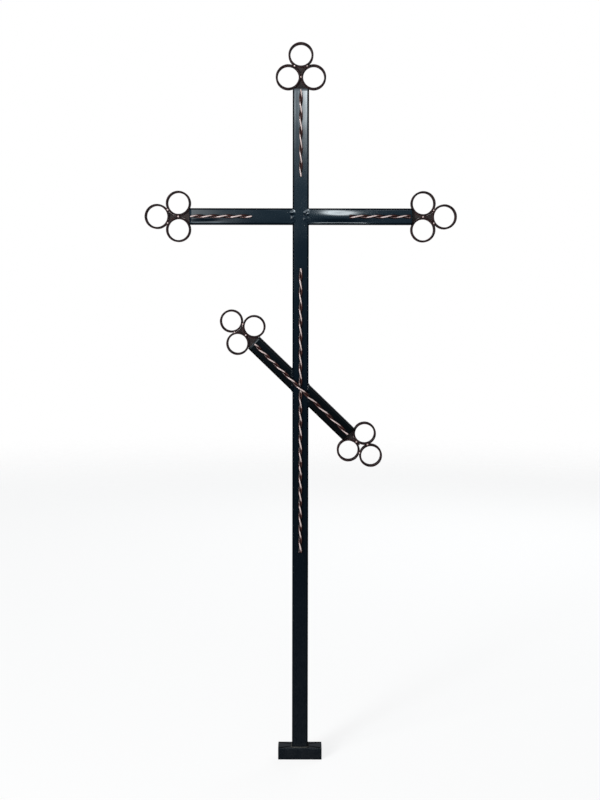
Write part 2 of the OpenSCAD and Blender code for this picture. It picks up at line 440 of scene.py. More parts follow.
class EffectShelf:
    """Builds each shared effect once and places it in materials.

    SOCKETS gives each effect's inputs and its result. The other values say how ragged the wear is,
    between which levels each mask rises, how fast low dust thins out with height, and what share
    of the dust is left where it is thinnest and thickest.
    """

    SOCKETS: dict[Effect, tuple[tuple[str, ...], str]] = {
        Effect.MOTTLE: (("Scale", "Contrast"), "Mask"),
        Effect.EDGE_WEAR: (("Edge", "Amount", "Scale"), "Mask"),
        Effect.DRAWN_GRAIN: (("Grain", "Scale", "Cover"), "Mask"),
        Effect.SETTLED_DUST: (("Amount", "Settling", "Reach", "Scale"), "Mask"),
        Effect.PAINT_SKIN: (("Peel Scale", "Grit Scale", "Grit"), "Height"),
    }
    WEAR_RAGGED = 0.9
    WEAR_RISE = (0.95, 1.35)
    GRAIN_RISE = (0.62, 0.98)
    DUST_THINNING = 1.5
    DUST_RISE = (0.3, 0.75)
    DUST_LEFT = (0.55, 1.0)

    def __init__(self) -> None:
        """Builds the groups."""
        self.groups = {effect: self._build(effect) for effect in Effect}

    def _build(self, effect: Effect) -> bpy.types.NodeTree:
        """Makes one group: its sockets, then its nodes.

        Args:
            effect: the effect, whose value names the method that wires it.

        Returns:
            The group.
        """
        tree = bpy.data.node_groups.new(effect.value, "ShaderNodeTree")
        names, result = self.SOCKETS[effect]
        for name in names:
            kind = "NodeSocketVector" if name == "Grain" else "NodeSocketFloat"
            tree.interface.new_socket(name=name, in_out="INPUT", socket_type=kind)
        tree.interface.new_socket(name=result, in_out="OUTPUT", socket_type="NodeSocketFloat")
        source = tree.nodes.new("NodeGroupInput")
        sink = tree.nodes.new("NodeGroupOutput")
        graph = Graph(tree)
        graph.feed(sink, {result: getattr(self, "_" + effect.value)(graph, source.outputs)})
        return tree

    def _mottle(self, graph: Graph, given: Sockets) -> Socket:
        """Cloudy patches: noise in object space, stretched about its middle by the contrast.

        Args:
            graph: the group's graph.
            given: the group's inputs.

        Returns:
            Mask of 0 to 1.
        """
        around = graph.math("SUBTRACT", graph.noise(given["Scale"], 5.0), 0.5)
        scaled = graph.math("MULTIPLY", around, given["Contrast"])
        return graph.math("ADD", scaled, 0.5, clamp=True)

    def _edge_wear(self, graph: Graph, given: Sockets) -> Socket:
        """Paint rubbed off edges, which on the rings also paints a highlight along the rims: edge plus
        noise, past a level that falls as the amount rises.

        Args:
            graph: the group's graph.
            given: the group's inputs.

        Returns:
            Mask, 1 where the paint is gone.
        """
        around = graph.math("SUBTRACT", graph.noise(given["Scale"], 4.0), 0.5)
        rough = graph.math("MULTIPLY", around, self.WEAR_RAGGED)
        worn = graph.math("ADD", graph.math("ADD", given["Edge"], rough), given["Amount"])
        return graph.spread(worn, *self.WEAR_RISE)

    def _drawn_grain(self, graph: Graph, given: Sockets) -> Socket:
        """Streaks along the drawing direction: noise on the painted grain vector, plus the cover."""
        noise = graph.noise(given["Scale"], 3.0, given["Grain"])
        return graph.spread(graph.math("ADD", noise, given["Cover"]), *self.GRAIN_RISE)

    def _settled_dust(self, graph: Graph, given: Sockets) -> Socket:
        """Dust on upward faces and low above the ground, broken up by noise.

        It is amount (settling max(n_z, 0) + max(1 - z / reach, 0)^thinning) times the broken share.

        Args:
            graph: the group's graph.
            given: the group's inputs.

        Returns:
            Mask of 0 to 1.
        """
        coords = graph.add("TexCoord").outputs["Object"]
        height = graph.add("SeparateXYZ", {0: coords}).outputs["Z"]
        facing = graph.add("NewGeometry").outputs["Normal"]
        up = graph.add("SeparateXYZ", {0: facing}).outputs["Z"]
        level = graph.math("MAXIMUM", up, 0.0)
        low = graph.math("SUBTRACT", 1.0, graph.math("DIVIDE", height, given["Reach"]))
        low = graph.math("POWER", graph.math("MAXIMUM", low, 0.0), self.DUST_THINNING)
        noise = graph.noise(given["Scale"], 6.0, coords)
        broken = graph.spread(noise, *self.DUST_RISE, self.DUST_LEFT)
        both = graph.math("ADD", graph.math("MULTIPLY", level, given["Settling"]), low)
        amount = graph.math("MULTIPLY", both, given["Amount"])
        return graph.math("MULTIPLY", amount, broken, clamp=True)

    def _paint_skin(self, graph: Graph, given: Sockets) -> Socket:
        """Height of a paint film: broad orange peel plus fine grit under the paint."""
        grit = graph.math("MULTIPLY", graph.noise(given["Grit Scale"], 4.0), given["Grit"])
        return graph.math("ADD", graph.noise(given["Peel Scale"], 1.5), grit)

    def place(self, graph: Graph, effect: Effect, **inputs: Socket | float) -> Socket:
        """Puts a group in a material; underscores in input names stand for spaces."""
        given = {name.replace("_", " "): value for name, value in inputs.items()}
        return graph.add("Group", given, node_tree=self.groups[effect]).outputs[0]


@dataclass(frozen=True)
class Relief:
    """Relief of a finish, fed to the normal.

    Args:
        peel_scale: scale of its broad waves.
        grit_scale: scale of its grit.
        grit: height of the grit, as a share of the waves'.
        depth: depth of the waves.
    """

    peel_scale: float
    grit_scale: float
    grit: float
    depth: float

    def emboss(self, shelf: EffectShelf, graph: Graph, shader: bpy.types.Node) -> None:
        """Feeds a height of about 0 to 1, scaled to the depth, to a shader's normal.

        Args:
            shelf: the shared effects.
            graph: the material's graph.
            shader: its shader.
        """
        height = shelf.place(
            graph, Effect.PAINT_SKIN,
            Peel_Scale=self.peel_scale, Grit_Scale=self.grit_scale, Grit=self.grit,
        )
        bump = graph.add("Bump", {"Height": height, "Distance": self.depth})
        graph.feed(shader, {"Normal": bump.outputs["Normal"]})


@dataclass(frozen=True)
class Enamel:
    """Glossy blue-black enamel, faintly uneven, dusty and scuffed low down.

    Args:
        name: name of the material.
        deep: colour of the film.
        worn: colour of its duller patches.
        patch: scale and contrast of the patches.
        gloss: roughness from the glossiest to the dullest patches.
        dust: colour of settled dust.
        dust_amount: strength of the dust.
        dust_scale: scale at which it is broken up.
        settling: share of it that lies on upward faces at any height.
        dust_reach: height above the ground at which the low dust ends.
        dulling: roughness that full dust adds.
        relief: orange peel.
        shine: specular level of the faces.
        edge_shine: share of it left on the round edges.
        edge_mask: painted edge value at which the shine starts to fall, and at which it has.
        coat_mask: dust at which the clear coat is at its least, and the share left there.
        coat_gloss: roughness of the clear coat.
    """

    name: str = "black_enamel"
    deep: Colour = (0.0012, 0.0026, 0.0046)
    worn: Colour = (0.0022, 0.0038, 0.0060)
    patch: tuple[float, float] = (9.0, 2.2)
    gloss: tuple[float, float] = (0.05, 0.10)
    dust: Colour = (0.060, 0.057, 0.052)
    dust_amount: float = 0.085
    dust_scale: float = 55.0
    settling: float = 0.12
    dust_reach: float = 0.60
    dulling: float = 2.0
    relief: Relief = Relief(130.0, 500.0, 0.0, 0.005 * MM)
    shine: float = 1.0
    edge_shine: float = 1.0
    edge_mask: tuple[float, float] = (0.52, 0.60)
    coat_mask: tuple[float, float] = (0.5, 0.1)
    coat_gloss: float = 0.05

    def build(self, shelf: EffectShelf) -> bpy.types.Material:
        """Wires the material: film colour, dust over it, and peel in the normal.

        Args:
            shelf: the shared effects.

        Returns:
            The material.
        """
        material, graph, shader = start_material(self.name)
        patches = shelf.place(graph, Effect.MOTTLE, Scale=self.patch[0], Contrast=self.patch[1])
        dust = shelf.place(
            graph, Effect.SETTLED_DUST,
            Amount=self.dust_amount, Settling=self.settling, Reach=self.dust_reach,
            Scale=self.dust_scale,
        )
        film = graph.blend(patches, self.deep, self.worn)
        rough = graph.spread(patches, 0.0, 1.0, self.gloss)
        dulled = graph.math("MULTIPLY", dust, self.dulling)
        left = graph.spread(graph.paint("edge"), *self.edge_mask, (1.0, self.edge_shine))
        shine = graph.math("MULTIPLY", left, self.shine)
        thick_dust, coat_left = self.coat_mask
        coat = graph.spread(dust, 0.0, thick_dust, (1.0, coat_left))
        graph.feed(shader, {
            "Base Color": graph.blend(dust, film, self.dust),
            "Roughness": graph.math("ADD", rough, dulled, clamp=True),
            "Specular IOR Level": shine,
            "Coat Weight": graph.math("MULTIPLY", coat, shine),
            "Coat Roughness": self.coat_gloss,
        })
        self.relief.emboss(shelf, graph, shader)
        return material


@dataclass(frozen=True)
class Patina:
    """Black paint brushed thin with copper-brown, rubbed light on the edges, the light edges also a
    painted highlight along the rims.

    Args:
        name: name of the material.
        ground: black of the paint in the hollows.
        brown: copper-brown brushed over it.
        rubbed_highlight: pinkish metal where the edges are rubbed, also a painted highlight along the
            rims.
        streak: light grey of the brush streaks.
        patch_scale: scale of the brown patches.
        brown_cover: their contrast.
        edge_amount: how far the rubbing and its painted highlight reach from the edges.
        edge_scale: scale at which it is broken up.
        streak_cover: share of streaks.
        strength: how far streaks and rubbing cover the paint.
        metal: metallic share of the paint and of the bare streaks and edges.
        gloss: roughness of the black and of the brown.
        relief: brush marks and grit.
        shine: specular level.
    """

    name: str
    ground: Colour = (0.0046, 0.0022, 0.0021)
    brown: Colour = (0.024, 0.0085, 0.0080)
    rubbed_highlight: Colour = (0.44, 0.25, 0.25)
    streak: Colour = (0.34, 0.29, 0.29)
    patch_scale: float = 70.0
    brown_cover: float = 2.6
    edge_amount: float = 0.30
    edge_scale: float = 160.0
    streak_cover: float = 0.03
    strength: tuple[float, float] = (0.75, 0.8)
    metal: tuple[float, float] = (0.15, 0.75)
    gloss: tuple[float, float] = (0.30, 0.48)
    relief: Relief = Relief(420.0, 2600.0, 0.5, 0.06 * MM)
    shine: float = 0.28

    def build(self, shelf: EffectShelf) -> bpy.types.Material:
        """Wires the material: brown over black, streaks along the grain, edges rubbed and painted light
        last.

        Args:
            shelf: the shared effects.

        Returns:
            The material.
        """
        material, graph, shader = start_material(self.name)
        patches = shelf.place(
            graph, Effect.MOTTLE, Scale=self.patch_scale, Contrast=self.brown_cover
        )
        grain = graph.paint("grain", "Vector")
        streaks = shelf.place(
            graph, Effect.DRAWN_GRAIN, Grain=grain, Scale=1.0, Cover=self.streak_cover
        )
        rubbed_highlight = shelf.place(
            graph, Effect.EDGE_WEAR,
            Edge=graph.paint("edge"), Amount=self.edge_amount, Scale=self.edge_scale,
        )
        colour = graph.blend(patches, self.ground, self.brown)
        layers = zip((streaks, rubbed_highlight), self.strength, (self.streak, self.rubbed_highlight))
        for mask, strength, over in layers:
            colour = graph.blend(graph.math("MULTIPLY", mask, strength), colour, over)
        bare = graph.math("MAXIMUM", streaks, rubbed_highlight)
        graph.feed(shader, {
            "Base Color": colour,
            "Metallic": graph.spread(bare, 0.0, 1.0, self.metal),
            "Roughness": graph.spread(patches, 0.0, 1.0, self.gloss),
            "Specular IOR Level": self.shine,
        })
        self.relief.emboss(shelf, graph, shader)
        return material


@dataclass(frozen=True)
class CopperRod:
    """Copper paint rubbed over black, with light and shade painted by how far each point faces the
    front: rubbed copper and painted highlight on the crests, dark red-brown on the flanks, painted
    shade in the grooves.

    Args:
        name: name of the material.
        crest: colour of each rod's side that faces the front, rubbed copper and painted highlight.
        flank: colour between crest and groove.
        groove_shade: painted shade on a rod's sides that face away from the front, and on a rod behind
            its twin.
        patch: scale and contrast of the patches.
        patch_share: how far a patch shifts the colours down towards the groove.
        grain_cover: share of streaks.
        grain_left: share of the crest's colour left between the streaks.
        flank_rise: crest share between which the painted shade turns to flank.
        crest_rise: crest share between which flank turns to the rubbed crest with its painted
            highlight.
        metal: metallic share of the flank and of the crest.
        gloss: roughness of the patches.
        relief: brush marks and grit.
    """

    name: str = "copper_rod"
    crest: Colour = (0.97, 0.80, 0.76)
    flank: Colour = (0.075, 0.027, 0.023)
    groove_shade: Colour = (0.006, 0.003, 0.003)
    patch: tuple[float, float] = (120.0, 2.0)
    patch_share: float = 0.16
    grain_cover: float = 0.15
    grain_left: float = 0.65
    flank_rise: tuple[float, float] = (0.45, 0.90)
    crest_rise: tuple[float, float] = (0.84, 1.01)
    metal: tuple[float, float] = (0.1, 0.25)
    gloss: tuple[float, float] = (0.24, 0.38)
    relief: Relief = Relief(900.0, 3200.0, 0.5, 0.05 * MM)

    def build(self, shelf: EffectShelf) -> bpy.types.Material:
        """Wires the material: painted shade to rubbed crest and painted highlight by the painted crest
        share, rubbed along the grain.

        Args:
            shelf: the shared effects.

        Returns:
            The material.
        """
        material, graph, shader = start_material(self.name)
        grain = shelf.place(
            graph, Effect.DRAWN_GRAIN,
            Grain=graph.paint("grain", "Vector"), Scale=1.0, Cover=self.grain_cover,
        )
        patches = shelf.place(graph, Effect.MOTTLE, Scale=self.patch[0], Contrast=self.patch[1])
        shift = graph.math("MULTIPLY", patches, self.patch_share)
        # the crest share says how far a point faces the front: it paints highlight on the crests and
        # shade in the grooves
        level = graph.math("ADD", graph.paint("crest"), shift)
        body = graph.blend(graph.spread(level, *self.flank_rise), self.groove_shade, self.flank)
        brushed = graph.spread(grain, 0.0, 1.0, (self.grain_left, 1.0))
        # rubbed copper and painted highlight where the crest share is high
        rubbed_highlight = graph.math("MULTIPLY", graph.spread(level, *self.crest_rise), brushed)
        graph.feed(shader, {
            "Base Color": graph.blend(rubbed_highlight, body, self.crest),
            "Metallic": graph.spread(rubbed_highlight, 0.0, 1.0, self.metal),
            "Roughness": graph.spread(patches, 0.0, 1.0, self.gloss),
        })
        self.relief.emboss(shelf, graph, shader)
        return material


@dataclass(frozen=True)
class WeldHighlight:
    """Weld metal coloured light as a painted highlight on the spots between the rings, pinkish in
    patches.

    Args:
        name: name of the material.
        bright_highlight: painted highlight colour of the weld.
        tinted_highlight: pinkish painted highlight colour of the tinted patches.
        patch: scale and contrast of the patches.
        gloss: roughness of the bright and of the tinted patches.
        metal: metallic share.
        relief: brush marks and grit.
    """

    name: str = "weld_highlight"
    bright_highlight: Colour = (0.85, 0.74, 0.72)
    tinted_highlight: Colour = (0.50, 0.30, 0.27)
    patch: tuple[float, float] = (300.0, 2.5)
    gloss: tuple[float, float] = (0.28, 0.5)
    metal: float = 0.35
    relief: Relief = Relief(700.0, 3000.0, 0.6, 0.08 * MM)

    def build(self, shelf: EffectShelf) -> bpy.types.Material:
        """Wires the material: two painted highlight colours in patches, with grit in the normal.

        Args:
            shelf: the shared effects.

        Returns:
            The material.
        """
        material, graph, shader = start_material(self.name)
        patches = shelf.place(graph, Effect.MOTTLE, Scale=self.patch[0], Contrast=self.patch[1])
        graph.feed(shader, {
            "Base Color": graph.blend(patches, self.bright_highlight, self.tinted_highlight),
            "Roughness": graph.spread(patches, 0.0, 1.0, self.gloss),
            "Metallic": self.metal,
        })
        self.relief.emboss(shelf, graph, shader)
        return material


def start_material(name: str) -> tuple[bpy.types.Material, Graph, bpy.types.Node]:
    """Makes a material.

    Args:
        name: its name.

    Returns:
        The material, its graph and its Principled shader.
    """
    material = bpy.data.materials.new(name)
    material.use_nodes = True
    return material, Graph(material.node_tree), material.node_tree.nodes["Principled BSDF"]


@dataclass(frozen=True)
class Finishes:
    """The materials of the cross, built once."""

    enamel: bpy.types.Material
    foot: bpy.types.Material
    lower_bar: bpy.types.Material
    seams: bpy.types.Material
    rings: bpy.types.Material
    webs: bpy.types.Material
    rods: bpy.types.Material
    weld: bpy.types.Material
    dust_and_highlight: bpy.types.Material

    @classmethod
    def build(cls) -> "Finishes":
        """Builds the shared effects and the nine materials.

        Returns:
            The materials.
        """
        makers = {
            "enamel": Enamel(edge_shine=0.05),
            "foot": Enamel("foot_enamel"),
            # a darker, more neutral and duller copy of the enamel: painted shade on the lower bar
            "lower_bar": Enamel(
                "lower_bar_shaded_enamel", deep=(0.0014, 0.0013, 0.0008), worn=(0.0020, 0.0020, 0.0016),
                shine=0.75, edge_shine=0.25,
            ),
            "seams": Enamel("seam_enamel", shine=0.3, edge_shine=0.6),
            "rings": Patina("ring_patina"),
            "webs": Patina(
                "web_patina", ground=(0.012, 0.0080, 0.0075), brown=(0.042, 0.029, 0.027),
                edge_amount=0.15, streak_cover=-0.06,
            ),
            "rods": CopperRod(),
            "weld": WeldHighlight(),
            # heavy dust, which on the foot's bead is also a painted highlight line
            "dust_and_highlight": Enamel("dust_and_highlight_enamel", dust_amount=0.95, settling=0.8),
        }
        shelf = EffectShelf()
        return cls(**{name: maker.build(shelf) for name, maker in makers.items()})


# --------------------------------------------------------------------------- layout


@dataclass(frozen=True)
class BarEnd:
    """A free bar end and its three rings, the paired ones on +X and -X before the turn."""

    name: str
    placing: Placing
    pair: tuple[str, str]

    @property
    def rings(self) -> tuple[str, str, str]:
        """CAD nodes of the tip ring and of the two paired rings."""
        return tuple(f"ring_{self.name}_{place}" for place in ("tip", *self.pair))

    def ring_centre(self, node: str) -> tuple[float, float]:
        """Centre of a ring in the end's own (x, z)."""
        low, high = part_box(node)
        return self.placing.local(((low.x + high.x) / 2, (low.z + high.z) / 2))


class Layout:
    """Sizes and places read from the CAD boxes, with the lower bar's slope as a named value."""

    SLOPE_DEG = 44.0

    def __init__(self) -> None:
        """Measures the boxes.

        An end of the lower bar lies reach cos(slope) beside the post's centre line, and its box
        reaches half the tube's width times sin(slope) further.
        """
        post_low, post_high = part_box("post")
        self.tube_w = post_high.x - post_low.x
        self.front = self.tube_w / 2
        self.foot_top, self.post_top = post_low.z, post_high.z
        left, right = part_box("crossbar_left"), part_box("crossbar_right")
        self.crossbar_z = (left[0].z + left[1].z) / 2
        high_bar, low_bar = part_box("lower_bar_high"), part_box("lower_bar_low")
        self.crossing_z = (high_bar[0].z + low_bar[1].z) / 2
        slope = math.radians(self.SLOPE_DEG)
        beyond = self.front * math.sin(slope)
        self.high_reach = (-high_bar[0].x - beyond) / math.cos(slope)
        self.low_reach = (low_bar[1].x - beyond) / math.cos(slope)
        self.fall_deg = 90 + self.SLOPE_DEG
        high, low = self.on_lower_bar(-self.high_reach), self.on_lower_bar(self.low_reach)
        self.ends = (
            BarEnd("top", Placing((0.0, 0.0, self.post_top)), ("right", "left")),
            BarEnd("left", Placing((left[0].x, 0.0, self.crossbar_z), -90), ("upper", "lower")),
            BarEnd("right", Placing((right[1].x, 0.0, self.crossbar_z), 90), ("lower", "upper")),
            BarEnd("high", Placing(high, self.fall_deg - 180), ("upper", "lower")),
            BarEnd("low", Placing(low, self.fall_deg), ("lower", "upper")),
        )

    def on_lower_bar(self, reach: float) -> tuple[float, float, float]:
        """Point on the lower bar's centre line at a signed distance from the post's."""
        fall = math.radians(self.fall_deg)
        return reach * math.sin(fall), 0.0, self.crossing_z + reach * math.cos(fall)


# --------------------------------------------------------------------------- tubes


@dataclass(frozen=True)
class SquareTube:
    """Square tube with round edges, its faces slightly crowned between low rolled ridges.

    Args:
        width: outside width.
        corner: outside radius of the long edges.
        crown: drop from the middle of each face to its edges.
        ridge: place of each ridge from mid-face, its half-width and its height.
        wobble: depth of the slow waves in the faces.
        wave: typical length of the waves, and the share at which distance along the tube counts.
        rim: radius that eases the end's edge.
        end_steps: how far two rows step in across the end wall, in rims.
        row_step: distance between rows of points.
        edge_paint: painted edge value on the round edges.
    """

    width: float
    corner: float = 4.0 * MM
    crown: float = 0.14 * MM
    ridge: tuple[float, float, float] = (14.4 * MM, 1.4 * MM, 0.008 * MM)
    wobble: float = 0.030 * MM
    wave: tuple[float, float] = (30 * MM, 0.35)
    rim: float = 0.5 * MM
    end_steps: tuple[float, float] = (2.0, 5.0)
    row_step: float = 6.0 * MM
    edge_paint: float = 0.6

    @property
    def outline(self) -> Outline:
        """The tube's outside, square to its length."""
        return Outline(self.width, self.width, self.corner, flat_steps=28, corner_steps=6)

    def skin(
        self, length: float, seed: int, start: Array | float = 0.0, pulls: Sequence["HeatPull"] = ()
    ) -> Surface:
        """Skin of a tube along +Z, its far end eased and closed.

        A point of the outline moves in along its normal by crown times its share, plus the
        waves, and out again by ridge height exp(-((d - place) / half-width)^2) at d from
        mid-face. Rows at the far end follow a quarter circle of the rim's radius, then step in
        across the end wall.

        Args:
            length: distance to the far end.
            seed: seed of the waves.
            start: distance of the near end, one value or one for each point of the outline.
            pulls: places where weld heat drew the front face in.

        Returns:
            The skin before it is placed.
        """
        outline, normal, share = self.outline.trace()
        from_middle = np.abs(outline * normal[:, ::-1]).sum(axis=-1)
        place, half_width, height = self.ridge
        ridge = height * (1 - np.exp(-(((from_middle - place) / half_width) ** 2)))
        t = np.linspace(0, 1, round(length / self.row_step))[:, None]
        along = np.broadcast_to(start, share.shape) * (1 - t) + (length - self.rim) * t
        around = np.linspace(0, 4 * self.width, len(share), endpoint=False)
        wave, stretch = self.wave
        waves = unevenness(along * stretch, around, wave, seed) * (1 - share) ** 0.5
        inward = self.crown * share + ridge + self.wobble * (1 + waves)
        for pull in pulls:
            inward = inward + pull.depth_at(along, outline[:, 0]) * np.maximum(-normal[:, 1], 0)
        turn = quarter_turn(4)[1:, None]
        end_along = length - self.rim * (1 - np.sin(turn)) + 0 * share
        end_inward = inward[-1] + self.rim * (1 - np.cos(turn))
        wall_along = np.full((len(self.end_steps), len(share)), length)
        wall_inward = inward[-1] + np.array(self.end_steps)[:, None] * self.rim
        edge = np.vstack([0 * t + share**6 * self.edge_paint, np.ones_like(end_along), 0 * wall_along])
        along = np.vstack([along, end_along, wall_along])
        inward = np.vstack([inward, end_inward, wall_inward])
        flat = outline - inward[..., None] * normal
        grid = np.concatenate([flat, along[..., None]], axis=-1)
        return Surface.from_grid(grid, Wrap.TUBE, edge=edge)


@dataclass(frozen=True)
class HeatPull:
    """Place where the heat of welding drew a face in along one long edge.

    Args:
        along: its middle along the tube.
        spread: its reach along the tube.
        across: where it starts and ends across the face.
        depth: how far it goes in.
        lip: where the face comes out again to its edge, or None.
    """

    along: float
    spread: float
    across: tuple[float, float]
    depth: float
    lip: tuple[float, float] | None = None

    def depth_at(self, along: Array, across: Array) -> Array:
        """Depth exp(-((s - middle) / reach)^2 / 2), times a smooth step across less the lip's.

        Args:
            along: distances along the tube.
            across: places across the face.

        Returns:
            How far the face goes in there.
        """
        fall = np.exp(-0.5 * ((along - self.along) / self.spread) ** 2)
        sign = math.copysign(1.0, self.across[1])
        share = smooth_step(across * sign, *(sign * place for place in self.across))
        if self.lip is not None:
            share = share - smooth_step(across * sign, *(sign * place for place in self.lip))
        return self.depth * fall * share


@dataclass
class TubeFrame:
    """The post and the four bar halves, each its own tube.

    Args:
        layout: places of the bars.
        flat_crown: crown of the crossbar's faces.
        pulls: places where weld heat drew the front faces in.
    """

    layout: Layout
    flat_crown: float = 0.05 * MM
    pulls: dict[str, tuple[HeatPull, ...]] = field(
        default_factory=lambda: {
            "post": (
                HeatPull(1540 * MM, 90 * MM, (-4 * MM, -13 * MM), 0.07 * MM, (-13 * MM, -17 * MM)),
                HeatPull(1560 * MM, 90 * MM, (12.5 * MM, 20 * MM), 0.24 * MM),
            ),
            "crossbar_right": (
                HeatPull(72 * MM, 37 * MM, (0 * MM, -17 * MM), 0.56 * MM),
                HeatPull(76 * MM, 36 * MM, (4 * MM, 14 * MM), 0.44 * MM, (14.6 * MM, 17.6 * MM)),
            ),
            "crossbar_left": (
                HeatPull(210 * MM, 22 * MM, (-4 * MM, -13 * MM), 0.40 * MM, (-13 * MM, -17 * MM)),
            ),
        }
    )

    def pieces(self, finishes: Finishes) -> None:
        """Makes the post, the crossbar's halves and the lower bar's mitred halves.

        Args:
            finishes: the cross's materials.
        """
        lay = self.layout
        tube = SquareTube(lay.tube_w)
        post = tube.skin(lay.post_top - lay.foot_top, seed=11, pulls=self.pulls["post"])
        self._piece("post", post, Placing((0.0, 0.0, lay.foot_top)), finishes.enamel)
        flatter = SquareTube(lay.tube_w, crown=self.flat_crown)
        for seed, (name, side) in enumerate((("crossbar_left", -1), ("crossbar_right", 1)), 21):
            reach = abs(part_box(name)[(side + 1) // 2].x) - lay.front
            half = flatter.skin(reach, seed, pulls=self.pulls[name])
            placing = Placing((side * lay.front, 0, lay.crossbar_z), side * 90)
            self._piece(name, half, placing, finishes.enamel)
        centre = (0.0, 0.0, lay.crossing_z)
        halves = (
            ("lower_bar_high", lay.fall_deg - 180, lay.high_reach),
            ("lower_bar_low", lay.fall_deg, lay.low_reach),
        )
        for seed, (name, turn, reach) in enumerate(halves, 31):
            half = tube.skin(reach, seed, self._mitre(tube, turn))
            # the lower bar takes the enamel's shaded copy
            self._piece(name, half, Placing(centre, turn), finishes.lower_bar)

    def _mitre(self, tube: SquareTube, turn_deg: float) -> Array:
        """Finds where each line of a slanted half's outline meets the post's side.

        x cos t + s sin t = +-w/2 gives its distance s along the half.

        Args:
            tube: the half's tube.
            turn_deg: its turn.

        Returns:
            One distance for each point of the outline.
        """
        turn = math.radians(turn_deg)
        across = tube.outline.trace()[0][:, 0]
        wall = math.copysign(self.layout.front, math.sin(turn))
        return (wall - across * math.cos(turn)) / math.sin(turn)

    @staticmethod
    def _piece(name: str, skin: Surface, placing: Placing, finish: bpy.types.Material) -> None:
        """Places a tube and makes it the piece that stands for its CAD node."""
        skin.points = placing.put(skin.points)
        skin.to_piece(f"{name}_tube", Slot.ENAMEL, finish, [name])


@dataclass
class Foot:
    """Crosswise foot: a flat bar with eased edges, nicked in a few places.

    Args:
        corner: radius of the upright edges.
        rim: radius that eases the upper and lower edges.
        flat_steps: how far two rows step in across the flats, in rims.
        uneven: depth of the slow waves in its sides, and their typical length.
        nicks: places along the front's lower edge, in metres from the middle, and nick radius.
        nick_depth: depth of a nick, as a share of its radius.
        edge_width: reach of the painted upper edge.
    """

    corner: float = 2.0 * MM
    rim: float = 0.9 * MM
    flat_steps: tuple[float, float] = (3, 8)
    uneven: tuple[float, float] = (0.08 * MM, 25 * MM)
    nicks: tuple[tuple[float, float], ...] = ((0.028, 2.2 * MM), (-0.041, 1.4 * MM), (0.043, 1.2 * MM))
    nick_depth: float = 0.5
    edge_width: float = 1.5 * MM

    def piece(self, finish: bpy.types.Material) -> None:
        """Makes the foot: rows climb from the underside over the rim, the sides and the upper rim.

        The rims are quarter circles, and rows that step in close the two flats. A nick at x goes
        in by depth radius exp(-(d / radius)^2) at distance d from its place.

        Args:
            finish: the foot's material.
        """
        low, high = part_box("foot")
        height = high.z - low.z
        outline, normal, share = Outline(high.x - low.x, high.y - low.y, self.corner, 48, 5).trace()
        sin, cos = np.sin(quarter_turn(4)), np.cos(quarter_turn(4))
        rise = np.concatenate([[0, 0], self.rim * (1 - cos), [height / 3, 2 * height / 3]])
        rise = np.concatenate([rise, height - self.rim * (1 - sin), [height, height]])
        first, second = self.flat_steps
        inset = [[second, first], 1 - sin, [0, 0], 1 - cos, [first, second]]
        inset = np.concatenate(inset) * self.rim
        depth, wave = self.uneven
        waves = unevenness(outline[:, 0], outline[:, 1], wave, 41) * depth
        inward = inset[:, None] + depth + waves
        flat = outline - inward[..., None] * normal
        grid = stacked(flat[..., 0], flat[..., 1], rise[:, None])
        for x, radius in self.nicks:
            gap = np.hypot(grid[..., 0] - x, np.hypot(grid[..., 1] - low.y, grid[..., 2] - self.rim))
            nick = self.nick_depth * radius * np.exp(-((gap / radius) ** 2))
            grid[..., 1] += nick * (grid[..., 1] < 0)
        edge = np.exp(-((rise - height) ** 2) / self.edge_width**2)[:, None] + 0 * share
        skin = Surface.from_grid(grid, Wrap.TUBE, edge=edge)
        skin.to_piece("foot_bar", Slot.ENAMEL, finish, ["foot"])


# --------------------------------------------------------------------------- trefoils


